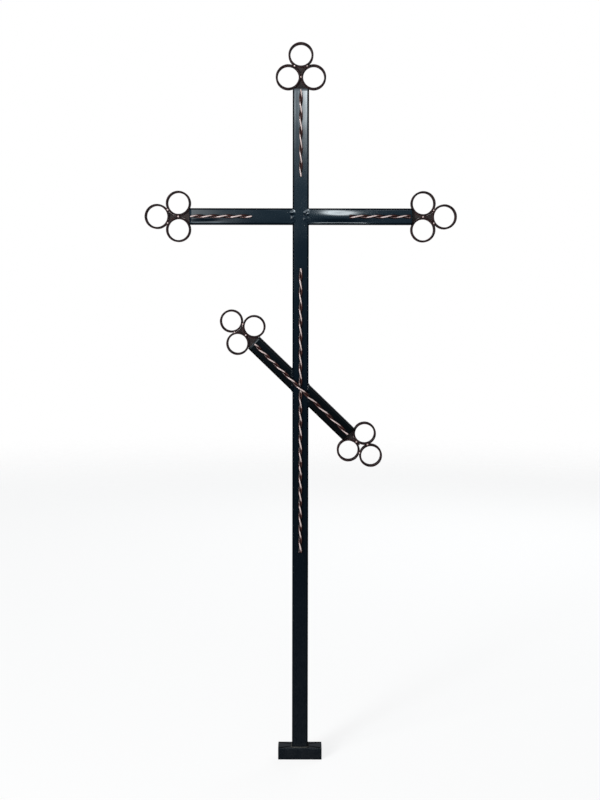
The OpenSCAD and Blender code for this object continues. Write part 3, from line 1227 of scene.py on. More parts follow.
@dataclass
class Trefoil:
    """Three slices of pipe at a bar end, with the plates between them.

    Args:
        end: the bar end.
        tube_w: outside width of the bar.
        wall: wall of the rings.
        ease: radius of the rings' edges.
        dome: how far the middle of a ring's cut face stands above its edges.
        filed: depth of the hand-filed waves in a ring's outside, and their typical length.
        side_wear_and_highlight: reach of the rubbed edge, and its painted highlight, down a ring's
            inside and outside.
        ring_grain: scale of the painted grain round a ring and across its wall.
        plate_grain: scale of the painted grain of the plates and of the weld between the rings.
        web_tip_w: width at which the throat plate's tip is cut off.
        throat_half_w: half the width of the throat plate.
        throat_middle: place of the throat plate's middle, as a share of its height.
        centre_radius: radius that trims the centre plate's points.
        plate_ease: radius of the plates' edges.
        plate_steps: shares of a plate's outline to which two rows step in across its faces.
        plate_worn: shares of it between which the painted edge rises.
        plate_dents: depth of the dents in a plate's front, and their typical length.
        root_gap: gap between a ring's outside and its neighbours.
        spot: half the length, depth and width of a spot of weld.
        spot_sunk: how far its middle lies under the rings' faces.
        root_size: half the height of the weld between the paired rings, and its hold on each.
    """

    end: BarEnd
    tube_w: float
    wall: float = 5.0 * MM
    ease: float = 1.2 * MM
    dome: float = 0.4 * MM
    filed: tuple[float, float] = (0.07 * MM, 18 * MM)
    side_wear_and_highlight: float = 3 * MM
    ring_grain: tuple[float, float] = (45.0, 1100.0)
    plate_grain: float = 900
    web_tip_w: float = 2.5 * MM
    throat_half_w: float = 18.0 * MM
    throat_middle: float = 0.3
    centre_radius: float = 11.0 * MM
    plate_ease: float = 0.4 * MM
    plate_steps: tuple[float, float] = (0.7, 0.35)
    plate_worn: tuple[float, float] = (0.8, 1.0)
    plate_dents: tuple[float, float] = (0.18 * MM, 9 * MM)
    root_gap: float = 0.15 * MM
    spot: tuple[float, float, float] = (2.6 * MM, 1.35 * MM, 2.2 * MM)
    spot_sunk: float = 1.15 * MM
    root_size: tuple[float, float] = (12.0 * MM, 2.2 * MM)

    def pieces(self, finishes: Finishes) -> None:
        """Makes the rings, the plates that the CAD model has at this end, and the welds.

        Args:
            finishes: the cross's materials.
        """
        for order, node in enumerate(self.end.rings):
            ring = self._ring(node, seed=50 + 7 * order + len(self.end.name))
            ring.to_piece(f"{node}_pipe", Slot.PATINA, finishes.rings, [node])
        for kind in ("throat", "centre"):
            node = f"{kind}_web_{self.end.name}"
            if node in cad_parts:
                plate = self._web(node, kind == "centre")
                plate.to_piece(f"{node}_plate", Slot.PATINA, finishes.webs, [node])
        # the ring welds take the painted highlight colour
        self._welds().to_piece(f"ring_welds_{self.end.name}", Slot.PATINA, finishes.weld)
        self._root().to_piece(f"ring_root_{self.end.name}", Slot.PATINA, finishes.webs)

    def _centres(self) -> list[tuple[float, float]]:
        """Centres of the tip ring and of the paired rings, in the end's own (x, z)."""
        return [self.end.ring_centre(ring) for ring in self.end.rings]

    def _ring(self, node: str, seed: int) -> Surface:
        """Turns the pipe wall's outline about Y.

        The outline is a rounded rectangle, wall by depth; its cut faces are domed by dome times
        (1 - (2t - 1)^2) across the wall, and its outside is filed by hand in slow waves.

        Args:
            node: the ring's CAD node.
            seed: seed of the waves.

        Returns:
            The ring in the row frame.
        """
        low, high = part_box(node)
        radius, depth = (high.x - low.x) / 2, high.y - low.y

        def on_cut_face(place: Array) -> NDArray[np.bool_]:
            """Whether a point lies on a cut face or on its eased edges."""
            return np.abs(place) > depth / 2 - self.ease

        outline, _, _ = Outline(self.wall, depth, self.ease, 6, 4).trace()
        across, along = outline[:, 0], outline[:, 1]
        step = np.clip(np.abs(across) / (self.wall / 2), 0, 1)
        along = along - np.sign(along) * self.dome * step**2 * on_cut_face(along)
        turn = full_turn(120)[:, None]
        file_depth, file_wave = self.filed
        wave = unevenness(np.cos(turn) * radius, np.sin(turn) * radius + along, file_wave, seed)
        reach = radius - self.wall / 2 + across - file_depth * (1 + wave)
        grid = stacked(reach * np.cos(turn), along, reach * np.sin(turn))
        # rubbed edges and painted highlight along the rims and down the sides
        side = np.exp(-((np.abs(along) - depth / 2) ** 2) / self.side_wear_and_highlight**2)
        edge = np.where(on_cut_face(along), step**2, side)
        slow, fast = self.ring_grain
        grain = stacked(
            radius * np.cos(turn) * slow, radius * np.sin(turn) * slow, (across + along) * fast
        )
        middle = np.array([(low.x + high.x) / 2, 0.0, (low.z + high.z) / 2])
        return Surface.from_grid(grid + middle, Wrap.TORUS, edge=edge + 0 * turn, grain=grain)

    def _web(self, node: str, centre: bool) -> Surface:
        """A plate whose outline, in polar form, is the nearest of the circles and lines around it.

        Along a ray at angle a, a circle of radius R whose centre lies D away at angle c is met
        at D cos(a - c) - sqrt(R^2 - D^2 sin^2(a - c)), and a line h away at angle c at
        h / cos(a - c). Rows run from the middle of the front face, round its eased rim, to the
        middle of the back.

        Args:
            node: the plate's CAD node.
            centre: whether it is the plate between the rings, or the one in the throat.

        Returns:
            The plate in the row frame.
        """
        low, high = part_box(node)
        tip, *pair = self._centres()
        ring_low, ring_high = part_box(self.end.rings[0])
        radius = (ring_high.x - ring_low.x) / 2 + self.root_gap
        clear = radius**2 - (abs(pair[0][0]) - self.web_tip_w / 2) ** 2
        narrow = pair[0][1] - math.sqrt(max(0.0, clear))
        middle = (tip[1] + 2 * pair[0][1]) / 3 if centre else self.throat_middle * narrow
        angle = full_turn(144)
        reach = np.full(angle.shape, self.centre_radius if centre else self.tube_w)
        for x, z in (tip, *pair):
            distance, bearing = math.hypot(x, z - middle), math.atan2(z - middle, x)
            inside = radius**2 - (distance * np.sin(angle - bearing)) ** 2
            met = distance * np.cos(angle - bearing) - np.sqrt(np.maximum(inside, 0))
            reach = np.where((inside > 0) & (met > 0), np.minimum(reach, met), reach)
        lines = () if centre else (
            (middle, -math.pi / 2), (narrow - middle, math.pi / 2),
            (self.throat_half_w, 0.0), (self.throat_half_w, math.pi),
        )
        for distance, bearing in lines:
            cos = np.cos(angle - bearing)
            met = distance / np.maximum(cos, TINY)
            reach = np.where(cos > TINY, np.minimum(reach, met), reach)
        thick, turn = high.y - low.y, quarter_turn(3)
        front, back = self.plate_ease * (1 - np.sin(turn)), self.plate_ease * (1 - np.cos(turn))
        inset = np.concatenate([[0, 0], front, back, [0, 0]])[:, None]
        first, second = self.plate_steps
        shrink = np.concatenate([[second, first], np.ones(8), [first, second]])[:, None]
        depth = np.concatenate([[0, 0], back, thick - front, [thick] * 2])[:, None] + 0 * angle
        spread = (reach - inset) * shrink
        x, z = spread * np.cos(angle), spread * np.sin(angle)
        dent_depth, dent_wave = self.plate_dents
        dent = unevenness(x, z, dent_wave, 91 + len(node))
        depth = depth + dent_depth * (1 + dent) * (depth < thick / 2)
        grid = stacked(x, low.y + depth, middle + z)
        edge = smooth_step(spread / reach, *self.plate_worn)
        grain = grid * self.plate_grain
        return Surface.from_grid(self.end.placing.put(grid), Wrap.TUBE, edge=edge, grain=grain)

    def _welds(self) -> Surface:
        """Spots of weld where ring meets ring, front and back.

        Returns:
            The spots in the row frame.
        """
        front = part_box(self.end.rings[0])[1].y - self.spot_sunk
        spots = []
        for side in Side:
            for order, (a, b) in enumerate(combinations(self._centres(), 2)):
                place = np.array([(a[0] + b[0]) / 2, side.value * front, (a[1] + b[1]) / 2])
                bearing = math.atan2(b[1] - a[1], b[0] - a[0])
                spots.append(weld_spot(place, self.spot, bearing, order + len(self.end.name)))
        skin = Surface.joined(spots)
        skin.points = self.end.placing.put(skin.points)
        return skin

    def _root(self) -> Surface:
        """Weld that fills the slit between the paired rings, level with the plates.

        Returns:
            The weld in the row frame.
        """
        _, left, right = self._centres()
        low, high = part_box(self.end.rings[1])
        plate_low, plate_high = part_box(f"throat_web_{self.end.name}")
        gap = abs(left[0] - right[0]) - (high.x - low.x)
        place = np.array([0.0, (plate_low.y + plate_high.y) / 2, left[1]])
        half_height, hold = self.root_size
        size = (half_height, (plate_high.y - plate_low.y) / 2, gap / 2 + hold)
        skin = weld_spot(place, size, math.pi / 2, seed=3, lumpy=0.05)
        skin.points = self.end.placing.put(skin.points)
        skin.paint["grain"] = skin.points * self.plate_grain
        return skin


# --------------------------------------------------------------------------- welds


def weld_spot(
    place: Array, size: tuple[float, float, float], bearing: float, seed: int, lumpy: float = 0.22
) -> Surface:
    """Lump of weld: an ellipsoid turned about Y, its radius uneven by a random field.

    The point at polar angle p and turn q is place + radii * (cos p, sin p cos q, sin p sin q).

    Args:
        place: its middle.
        size: half its length along the bearing, half its depth and half its width.
        bearing: angle of its length from X towards Z.
        seed: seed of the unevenness.
        lumpy: its depth, as a share of the radius.

    Returns:
        The closed skin.
    """
    polar = np.linspace(POLE_GAP, math.pi - POLE_GAP, 15)[:, None]
    turn = full_turn(18)
    x, y = 2 * np.cos(polar), np.sin(polar) * np.cos(turn)
    lump = 1 + lumpy * unevenness(x, y, 1.5, seed)
    along = size[0] * np.cos(polar) * lump
    out = size[1] * np.sin(polar) * np.cos(turn) * lump
    across = size[2] * np.sin(polar) * np.sin(turn) * lump
    cos, sin = math.cos(bearing), math.sin(bearing)
    grid = stacked(along * cos - across * sin, out, along * sin + across * cos)
    return Surface.from_grid(grid + place, Wrap.TUBE, edge=lump - 0.5)


def swept(path: Array, across: Array, out: Array, size: tuple[float, float], scale: Array) -> Array:
    """Carries an ellipse along a path: p + scale (a cos t across + b sin t out).

    Args:
        path: (n, 3) points.
        across: (n, 3) or (3,) directions across the seam, in the surface.
        out: (n, 3) or (3,) directions out of the surface.
        size: a and b.
        scale: n scales.

    Returns:
        A row of points round each point of the path.
    """
    turn = full_turn(14)[None, :, None]
    across, out = np.broadcast_to(across, path.shape), np.broadcast_to(out, path.shape)
    section = size[0] * np.cos(turn) * across[:, None] + size[1] * np.sin(turn) * out[:, None]
    return path[:, None] + scale[:, None, None] * section


def weld_bead(
    path: Array,
    across: Array,
    out: Array,
    size: tuple[float, float],
    pitch: float,
    seed: int,
    ripple: float = 0.13,
) -> Surface:
    """Run of weld: an ellipse carried along a path, swelling once for each ripple.

    The section at distance s is scaled by (1 + ripple cos(2 pi s / pitch)) times an uneven
    factor, and by a taper sqrt(1 - |2 s / L - 1|^8) at both ends.

    Args:
        path: (n, 3) points of the seam.
        across: (n, 3) or (3,) directions across the seam, in the surface.
        out: (n, 3) or (3,) directions out of the surface.
        size: half the bead's width and its height.
        pitch: distance between ripples.
        seed: seed of the unevenness.
        ripple: depth of the ripples, as a share of the section.

    Returns:
        The closed skin.
    """
    steps = np.linalg.norm(np.diff(path, axis=0), axis=-1)
    distance = np.concatenate([[0], np.cumsum(steps)])
    taper = np.sqrt(np.maximum(1 - np.abs(2 * distance / distance[-1] - 1) ** 8, 0.02))
    uneven = 1 + 0.2 * unevenness(distance, 0 * distance, 12 * MM, seed)
    scale = taper * uneven * (1 + ripple * np.cos(2 * math.pi * distance / pitch))
    grid = swept(path, across, out, size, scale)
    return Surface.from_grid(grid, Wrap.TUBE, edge=np.full(grid.shape[:2], BEAD_EDGE))


@dataclass(frozen=True)
class DressedPad:
    """Weld ground down over a joint.

    Args:
        middle: its middle beside the post's centre line.
        half: half its width and half its height.
        lumps: place from its middle, radius and rise of each lump left on it, in millimetres.
    """

    middle: float
    half: tuple[float, float]
    lumps: tuple[tuple[float, float, float, float], ...]


@dataclass
class WeldRuns:
    """Welds of the tube frame: the crossbar's dressed joints, the mitres and the foot.

    Args:
        layout: places of the joints.
        pitch: distance between the ripples of a bead.
        short: how far a bead stops short of a tube's edge.
        pads: dressed weld on the front of the crossbar's joints.
        pad_relief: in millimetres, the waves left by the grinder, how far the pad lies under the
            faces, how much further its rim does, and its thickness.
        spatter: place from the crossing and size of drops on the front, in millimetres.
        bead_over: half the width and the height of a bead over or under the crossbar.
        bead_behind: those of a bead behind it.
        bead_mitre: those of a bead down a mitre's face.
        bead_slope: those of a bead over or under the lower bar.
        bead_foot: those of the bead round the post's base.
        mitre_sunk: how far the mitres' beads lie under the faces.
    """

    layout: Layout
    pitch: float = 3.2 * MM
    short: float = 2 * MM
    pads: tuple[DressedPad, ...] = (
        DressedPad(
            -19.0 * MM,
            (10.0 * MM, 17.5 * MM),
            ((-2.6, 9.0, 4.6, 0.56), (-0.4, -2.5, 3.8, 0.16)),
        ),
        DressedPad(
            14.5 * MM,
            (12.5 * MM, 18.5 * MM),
            (
                (0.5, 12.5, 3.4, 0.32), (2.2, 6.0, 3.0, 0.30), (-5.8, 9.0, 3.6, 0.30),
                (-5.6, -6.5, 3.6, 0.13), (3.5, -4.5, 3.2, 0.08),
            ),
        ),
    )
    pad_relief: tuple[float, float, float, float] = (0.035, 0.03, 0.22, 1.6)
    spatter: tuple[tuple[float, float, float], ...] = (
        (12.0, -23.0, 1.6), (5.0, -19.0, 0.9), (64.5, 10.0, 1.1), (-34.0, 7.0, 0.8), (30.5, -11.0, 0.8),
    )
    bead_over: tuple[float, float] = (2.6 * MM, 0.6 * MM)
    bead_behind: tuple[float, float] = (3.4 * MM, 0.9 * MM)
    bead_mitre: tuple[float, float] = (3.2 * MM, 0.62 * MM)
    bead_slope: tuple[float, float] = (2.6 * MM, 1.1 * MM)
    bead_foot: tuple[float, float] = (1.9 * MM, 1.7 * MM)
    mitre_sunk: float = 0.45 * MM

    def pieces(self, finishes: Finishes) -> None:
        """Makes one piece of weld for each joint, the foot's one dustier, its dust also a painted
        highlight along the bead.

        Args:
            finishes: the cross's materials.
        """
        pad, dust_and_highlight = finishes.enamel, finishes.dust_and_highlight
        self._crossbar_dressing().to_piece("crossbar_weld_dressing", Slot.ENAMEL, pad)
        self._crossbar_seams().to_piece("crossbar_weld_seams", Slot.ENAMEL, pad)
        self._mitre_seams().to_piece("lower_bar_weld_seams", Slot.ENAMEL, finishes.seams)
        # the foot's bead: dust and painted highlight
        self._foot_seam().to_piece("foot_weld", Slot.ENAMEL, dust_and_highlight)

    def _crossbar_dressing(self) -> Surface:
        """Ground-down weld over the front of both crossbar joints, with spatter beside it.

        A height over the face: level weld that fills the groove beside the post's round edge and
        dips below the faces towards its rim, plus the Gaussian lumps that the grinder left.

        Returns:
            The pads and the spatter.
        """
        lay = self.layout
        waves, sunk, rim_drop, thick = self.pad_relief
        u = np.linspace(-1, 1, 81)[:, None]
        v = np.linspace(-1, 1, 101)[None, :]
        rim = np.maximum(0, 1 - (u**2 + v**4))
        parts = []
        for seed, pad in enumerate(self.pads):
            x, z = u * pad.half[0] + 0 * v, v * pad.half[1] + 0 * u
            height = (waves * unevenness(x, z, 11 * MM, 61 + seed) - sunk) * MM
            height = height - rim_drop * MM * (1 - smooth_step(rim, 0.0, 0.9))
            for mark_x, mark_z, radius, rise in pad.lumps:
                gap = ((x - mark_x * MM) ** 2 + (z - mark_z * MM) ** 2) / (radius * MM) ** 2
                height = height + rise * MM * np.exp(-gap) * smooth_step(rim, 0.0, 0.3)
            out, back = stacked(x, -lay.front - height, z), stacked(x, -lay.front + thick * MM, z)
            grid = np.concatenate([out, back[:, ::-1]], axis=1)
            grid = grid + np.array([pad.middle, 0, lay.crossbar_z])
            parts.append(Surface.from_grid(grid, Wrap.TUBE, edge=np.full(grid.shape[:2], PAD_EDGE)))
        for seed, (x, z, size) in enumerate(self.spatter):
            place = np.array([x * MM, -lay.front + 0.05 * MM, lay.crossbar_z + z * MM])
            drop = (size * MM, 0.45 * size * MM, 0.8 * size * MM)
            parts.append(weld_spot(place, drop, 0.7 * seed, seed, lumpy=0.1))
        return Surface.joined(parts)

    def _crossbar_seams(self) -> Surface:
        """Beads over, under and behind both crossbar joints.

        Returns:
            The six beads.
        """
        lay = self.layout
        run = np.linspace(-lay.front + self.short, lay.front - self.short, 90)
        beads = []
        for side in (-1, 1):
            x = side * lay.front
            for seed, updown in enumerate((-1, 1), 71):
                path = stacked(x, run, lay.crossbar_z + updown * lay.front)
                across = 0.7 * np.array([side, 0.0, -updown])
                out = unit(np.array([side, 0.0, updown]))
                beads.append(weld_bead(path, across, out, self.bead_over, self.pitch, seed))
            path = stacked(x, lay.front, run + lay.crossbar_z)
            across, out = np.array([1.0, 0, 0]), np.array([0, 1.0, 0])
            beads.append(weld_bead(path, across, out, self.bead_behind, self.pitch, 75))
        return Surface.joined(beads)

    def _mitre_seams(self) -> Surface:
        """Beads along the four sides of both mitres of the lower bar.

        The upright edges of a mitre are w / cos(slope) high about the point where the bar's
        centre line meets the post's side.

        Returns:
            The eight beads.
        """
        lay = self.layout
        slope = math.radians(lay.SLOPE_DEG)
        half = lay.front / math.cos(slope)
        upright = np.linspace(-half + 1.5 * MM, half - 1.5 * MM, 110)
        run = np.linspace(-lay.front + self.short, lay.front - self.short, 90)
        beads = []
        for side in (-1, 1):
            x, middle = side * lay.front, lay.crossing_z - side * lay.front * math.tan(slope)
            for face in Side:
                path = stacked(x, face.value * (lay.front - self.mitre_sunk), upright + middle)
                across, out = np.array([1.0, 0, 0]), np.array([0, face.value, 0.0])
                beads.append(
                    weld_bead(path, across, out, self.bead_mitre, self.pitch, 81 + side, ripple=0.06)
                )
            for updown in (-1, 1):
                path = stacked(x, run, middle + updown * half)
                out = unit(np.array([side * 0.6, 0.0, updown]))
                across = np.array([out[2], 0, -out[0]])
                beads.append(weld_bead(path, across, out, self.bead_slope, self.pitch, 84 + updown))
        return Surface.joined(beads)

    def _foot_seam(self) -> Surface:
        """Bead round the post's base, a rounded square a little outside the tube.

        Its section at distance s swells by 1 + 0.14 cos(2 pi n s / L), plus a random field, with
        the whole number n of ripples nearest to the pitch.

        Returns:
            The bead.
        """
        lay = self.layout
        width = lay.tube_w + 1.2 * MM
        outline, normal, _ = Outline(width, width, 4.6 * MM, 40, 10).trace()
        path = stacked(outline[:, 0], outline[:, 1], lay.foot_top + 0.5 * MM)
        beside = stacked(normal[:, 0], normal[:, 1], 0.0)
        distance = np.cumsum(np.linalg.norm(path - np.roll(path, 1, axis=0), axis=-1))
        count = round(distance[-1] / self.pitch)
        swell = 1 + 0.14 * np.cos(2 * math.pi * count * distance / distance[-1])
        swell = swell + 0.2 * unevenness(path[:, 0], path[:, 1], 14 * MM, 95)
        grid = swept(path, beside, np.array([0.0, 0.0, 1.0]), self.bead_foot, swell)
        return Surface.from_grid(grid, Wrap.TORUS, edge=np.full(grid.shape[:2], FOOT_EDGE))


# --------------------------------------------------------------------------- rods


@dataclass(frozen=True)
class TwistedPair:
    """Two rods wound left-handed about an axis in front of a bar's face.

    Args:
        name: name of the pair in the CAD model.
        placing: start and direction of the axis, at y = 0.
        length: length of the pair.
        half_turns: length of half a turn at the start and at the end.
        begun: share of half a turn already made at the start.
        front: distance from the bar's middle to its face.
        crossing: distance at which it bows out over another pair, or None.
        rod_d: diameter of each rod.
        seat: gap between the rods and the face, and between the two rods.
        bow: height and length of the bow.
        step: distance between rows of points.
        ease: radius that eases a rod's ends.
        dents: depth of the dents in a rod, and their typical length.
        grain: scale of the painted grain round a rod and along it.
        crest_share: how far a point that faces the front, and a rod that lies in front of its twin,
            count as crest: painted highlight where they do, painted shade where they do not.
    """

    name: str
    placing: Placing
    length: float
    half_turns: tuple[float, float]
    begun: float
    front: float
    crossing: float | None = None
    rod_d: float = 5.0 * MM
    seat: float = 0.1 * MM
    bow: tuple[float, float] = (10.4 * MM, 40.0 * MM)
    step: float = 1.1 * MM
    ease: float = 0.5 * MM
    dents: tuple[float, float] = (0.05 * MM, 8 * MM)
    grain: tuple[float, float] = (3.0, 70.0)
    crest_share: tuple[float, float] = (0.74, 0.26)

    def axis_at(self, s: Array) -> tuple[Array, Array]:
        """Turn of the pair and its outward shift at distances s.

        The length of a half-turn grows evenly from first to last, so half-turns =
        L / (last - first) ln(1 + (last - first) s / (L first)), or s / first where they are
        equal, after the share begun. The bow is height exp(-((s - crossing) / length)^2).

        Args:
            s: distances along the axis.

        Returns:
            The turn in radians and the shift in metres.
        """
        first, last = self.half_turns
        grow = last - first
        turns = s / first
        if abs(grow) > TINY:
            turns = self.length / grow * np.log(1 + grow * s / (self.length * first))
        shift = 0 * s
        if self.crossing is not None:
            height, reach = self.bow
            shift = height * np.exp(-(((s - self.crossing) / reach) ** 2))
        return math.pi * (turns + self.begun), shift

    def strand(self, order: int) -> Surface:
        """Skin of one rod.

        Its centre is (r cos a, -r sin a - bow, s) for the pair's turn a, half a turn on for the
        second rod. Its round section lies square to the path, on the outward direction and the
        one across it, and shrinks in a quarter circle at both ends.

        Args:
            order: 0 for the first rod and 1 for the second.

        Returns:
            The rod in the row frame.
        """
        end = self.ease * (1 - np.cos(quarter_turn(3)))[:-1]
        run = np.linspace(self.ease, self.length - self.ease, round(self.length / self.step))
        s = np.concatenate([end, run, self.length - end[::-1]])
        turn, shift = self.axis_at(s)
        turn = turn + order * math.pi
        away = stacked(np.cos(turn), -np.sin(turn), 0.0)
        centre = self.rod_d / 2 * away + stacked(0.0, -shift, s)
        centre[:, 1] -= self.front + self.seat + self.rod_d
        forward = unit(np.gradient(centre, s, axis=0))
        outward = unit(away - (away * forward).sum(-1, keepdims=True) * forward)
        beside = np.cross(forward, outward)
        inside = np.clip(1 - np.minimum(s, self.length - s) / self.ease, 0, 1)
        radius = (self.rod_d - self.seat) / 2 - self.ease * (1 - np.sqrt(1 - inside**2))
        around = full_turn(20)
        cos, sin = np.cos(around), np.sin(around)
        dent_depth, dent_wave = self.dents
        dent = unevenness(s[:, None] * 0.5, around * self.rod_d / 2, dent_wave, 17 + order)
        reach = radius[:, None] - dent_depth * (1 + dent)
        section = cos[None, :, None] * outward[:, None] + sin[None, :, None] * beside[:, None]
        grid = centre[:, None] + reach[..., None] * section
        # painted highlight and shade: a point that faces the front, on a rod in front of its twin, gets
        # a high crest share, and a point that faces back gets a low one
        facing = -cos * outward[:, 1:2] - sin * beside[:, 1:2]
        by_point, by_rod = self.crest_share
        crest = np.clip(by_point * facing - by_rod * away[:, 1:2], 0, 1)
        grain = stacked(cos * self.grain[0], sin * self.grain[0], s[:, None] * self.grain[1])
        return Surface.from_grid(self.placing.put(grid), Wrap.TUBE, crest=crest, grain=grain)

    def pieces(self, finish: bpy.types.Material) -> None:
        """Makes both rods.

        Args:
            finish: the rods' material.
        """
        for order, letter in enumerate("ab"):
            node = f"rod_{self.name}_{letter}"
            self.strand(order).to_piece(f"{node}_wound", Slot.COPPER, finish, [node])


def twisted_pairs(layout: Layout, inset: float = 3.0 * MM) -> list[TwistedPair]:
    """Sets out the five pairs, their ends read from the CAD boxes.

    Args:
        layout: places of the bars.
        inset: how far short of the lower bar's ends its pair starts and ends.

    Returns:
        The pairs.
    """

    def extent(name: str, axis: int) -> tuple[float, float]:
        """Lowest and highest place of a pair's first rod along an axis."""
        low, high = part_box(f"rod_{name}_a")
        return low[axis], high[axis]

    upper, long_run = extent("upper_post", 2), extent("long_post", 2)
    left, right = extent("crossbar_left", 0), extent("crossbar_right", 0)
    crossbar, front = layout.crossbar_z, layout.front
    bar_start = layout.on_lower_bar(inset - layout.high_reach)
    bar_length = layout.high_reach + layout.low_reach - 2 * inset
    return [
        TwistedPair("upper_post", Placing((0, 0, upper[0])), upper[1] - upper[0],
                    (40 * MM, 40 * MM), 0.35, front),
        TwistedPair("long_post", Placing((0, 0, long_run[0])), long_run[1] - long_run[0],
                    (30.5 * MM, 38.5 * MM), 0.0, front),
        TwistedPair("crossbar_left", Placing((left[1], 0, crossbar), -90), left[1] - left[0],
                    (36 * MM, 36 * MM), 0.45, front),
        TwistedPair("crossbar_right", Placing((right[0], 0, crossbar), 90), right[1] - right[0],
                    (36 * MM, 36 * MM), 0.0, front),
        TwistedPair("lower_bar", Placing(bar_start, layout.fall_deg), bar_length,
                    (28 * MM, 44 * MM), 0.5, front, crossing=layout.high_reach - inset),
    ]


# --------------------------------------------------------------------------- studio


@dataclass(frozen=True)
class Softbox:
    """A soft round patch of light in the studio, seen from the cross.

    Args:
        side: its place to the right, as x over the distance in front.
        height: its height, as the sine of its elevation.
        spread: its radius sideways and upright, in the same measures.
        strength: its radiance.
    """

    side: float
    height: float
    spread: tuple[float, float]
    strength: float


@dataclass
class Studio:
    """Pale floor, soft light in front, and the camera.

    Args:
        camera_height: height of the camera.
        camera_distance: its distance in front of the cross.
        pitch_deg: how far it looks down.
        yaw_deg: how far it looks to the left.
        roll_deg: how far it leans to the left.
        lens_mm: focal length on the sensor.
        sensor_mm: width of the sensor.
        floor_radius: radius of the floor.
        floor_grey: its colour.
        floor_glow: its own light, which lifts it to the white behind it.
        floor_fade: share of its radius at which it starts to fade out.
        softboxes: patches of light in front.
        softbox_tint: their colour.
        sky: sine of elevation and colour of each stop of the sky in front.
        behind: colour and strength of the light behind the cross.
    """

    camera_height: float = 1.240
    camera_distance: float = 3.508
    pitch_deg: float = 5.39
    yaw_deg: float = 0.017
    roll_deg: float = 0.09
    lens_mm: float = 63.94
    sensor_mm: float = 36.0
    floor_radius: float = 7.0
    floor_grey: Colour = (0.30, 0.30, 0.30)
    floor_glow: float = 0.84
    floor_fade: float = 0.55
    softboxes: tuple[Softbox, ...] = (
        Softbox(0.058, 0.127, (0.053, 0.028), 7.9),
        Softbox(-0.095, 0.035, (0.028, 0.045), 1.9),
        Softbox(-0.610, 0.270, (0.120, 0.105), 46.0),
    )
    softbox_tint: Colour = (0.90, 0.97, 1.0)
    sky: tuple[tuple[float, Colour], ...] = (
        (-0.20, (0.012, 0.020, 0.030)),
        (-0.09, (0.015, 0.035, 0.055)),
        (-0.04, (0.026, 0.056, 0.090)),
        (0.01, (0.048, 0.095, 0.145)),
        (0.045, (0.10, 0.18, 0.25)),
        (0.080, (0.20, 0.31, 0.41)),
        (0.095, (0.46, 0.62, 0.74)),
        (0.112, (0.85, 1.08, 1.25)),
        (0.150, (1.00, 1.26, 1.45)),
        (0.26, (0.84, 0.98, 1.10)),
        (0.40, (0.16, 0.18, 0.20)),
        (0.50, (0.08, 0.09, 0.10)),
    )
    behind: tuple[Colour, float] = ((0.80, 0.88, 1.0), 0.09)

    def build(self) -> None:
        """Sets the world, the lamps, the floor and the camera."""
        self._world()
        self._lamp("key_left", (-2.6, -3.4, 1.9), (2.2, 2.6), 110.0, (1.0, 0.97, 0.94))
        self._lamp("fill_back", (1.5, 3.5, 2.6), (3.0, 2.0), 40.0, (0.95, 0.98, 1.0))
        self._floor()
        self._camera()
        bpy.context.scene.view_settings.view_transform = "Standard"

    def _world(self) -> None:
        """Plain white for the camera, and for the cross a sky in front with softboxes in it.

        In a direction (x, y, z), softbox strength is s exp(-(dx^2 + dz^2)), where dx and dz are
        x / -y and z less the box's place, over its spread.
        """
        world = bpy.data.worlds.new("studio")
        world.use_nodes = True
        bpy.context.scene.world = world
        graph = Graph(world.node_tree)
        world.node_tree.nodes.clear()
        direction = graph.add("TexCoord").outputs["Generated"]
        split = graph.add("SeparateXYZ", {0: direction})
        x, y, z = (split.outputs[axis] for axis in "XYZ")
        ahead = graph.math("MAXIMUM", graph.math("MULTIPLY", y, -1.0), 0.05)
        in_front = graph.spread(y, -0.45, 0.05, (1.0, 0.0))
        ahead_only = graph.spread(y, -0.97, -0.72, (1.0, 0.10))
        rise = graph.add("ValToRGB", {0: graph.spread_linear(z, self.sky[0][0], self.sky[-1][0])})
        self._ramp(rise.color_ramp)
        total = self._glow(graph, rise.outputs[0], graph.math("MULTIPLY", ahead_only, in_front))
        tint, strength = self.behind
        dim = self._glow(graph, tint, graph.spread(y, 0.0, 0.4, (0.0, strength)))
        total = graph.add("AddShader", {0: total, 1: dim}).outputs[0]
        side = graph.math("DIVIDE", x, ahead)
        for box in self.softboxes:
            dx = graph.math("DIVIDE", graph.math("SUBTRACT", side, box.side), box.spread[0])
            dz = graph.math("DIVIDE", graph.math("SUBTRACT", z, box.height), box.spread[1])
            gap = graph.math("ADD", graph.math("POWER", dx, 2.0), graph.math("POWER", dz, 2.0))
            level = graph.math("EXPONENT", graph.math("MULTIPLY", gap, -1.0))
            level = graph.math("MULTIPLY", graph.math("MULTIPLY", level, box.strength), in_front)
            lamp = self._glow(graph, self.softbox_tint, level)
            total = graph.add("AddShader", {0: total, 1: lamp}).outputs[0]
        white = self._glow(graph, (1.0, 1.0, 1.0), 1.0)
        seen = graph.add("LightPath").outputs["Is Camera Ray"]
        mixed = graph.add("MixShader", {0: seen, 1: total, 2: white}).outputs[0]
        graph.add("OutputWorld", {"Surface": mixed})

    @staticmethod
    def _glow(graph: Graph, colour: Socket | Colour, strength: Socket | float) -> Socket:
        """Light of one colour from the world."""
        colour = colour if isinstance(colour, Socket) else (*colour, 1.0)
        return graph.add("Background", {"Color": colour, "Strength": strength}).outputs[0]

    def _ramp(self, ramp: bpy.types.ColorRamp) -> None:
        """Sets the sky's colours on a ramp that runs from its first stop to its last.

        Args:
            ramp: the ramp.
        """
        lowest, highest = self.sky[0][0], self.sky[-1][0]
        while len(ramp.elements) > 1:
            ramp.elements.remove(ramp.elements[-1])
        for order, (height, colour) in enumerate(self.sky):
            at = (height - lowest) / (highest - lowest)
            stop = ramp.elements[0] if order == 0 else ramp.elements.new(at)
            stop.position = at
            stop.color = (*colour, 1.0)

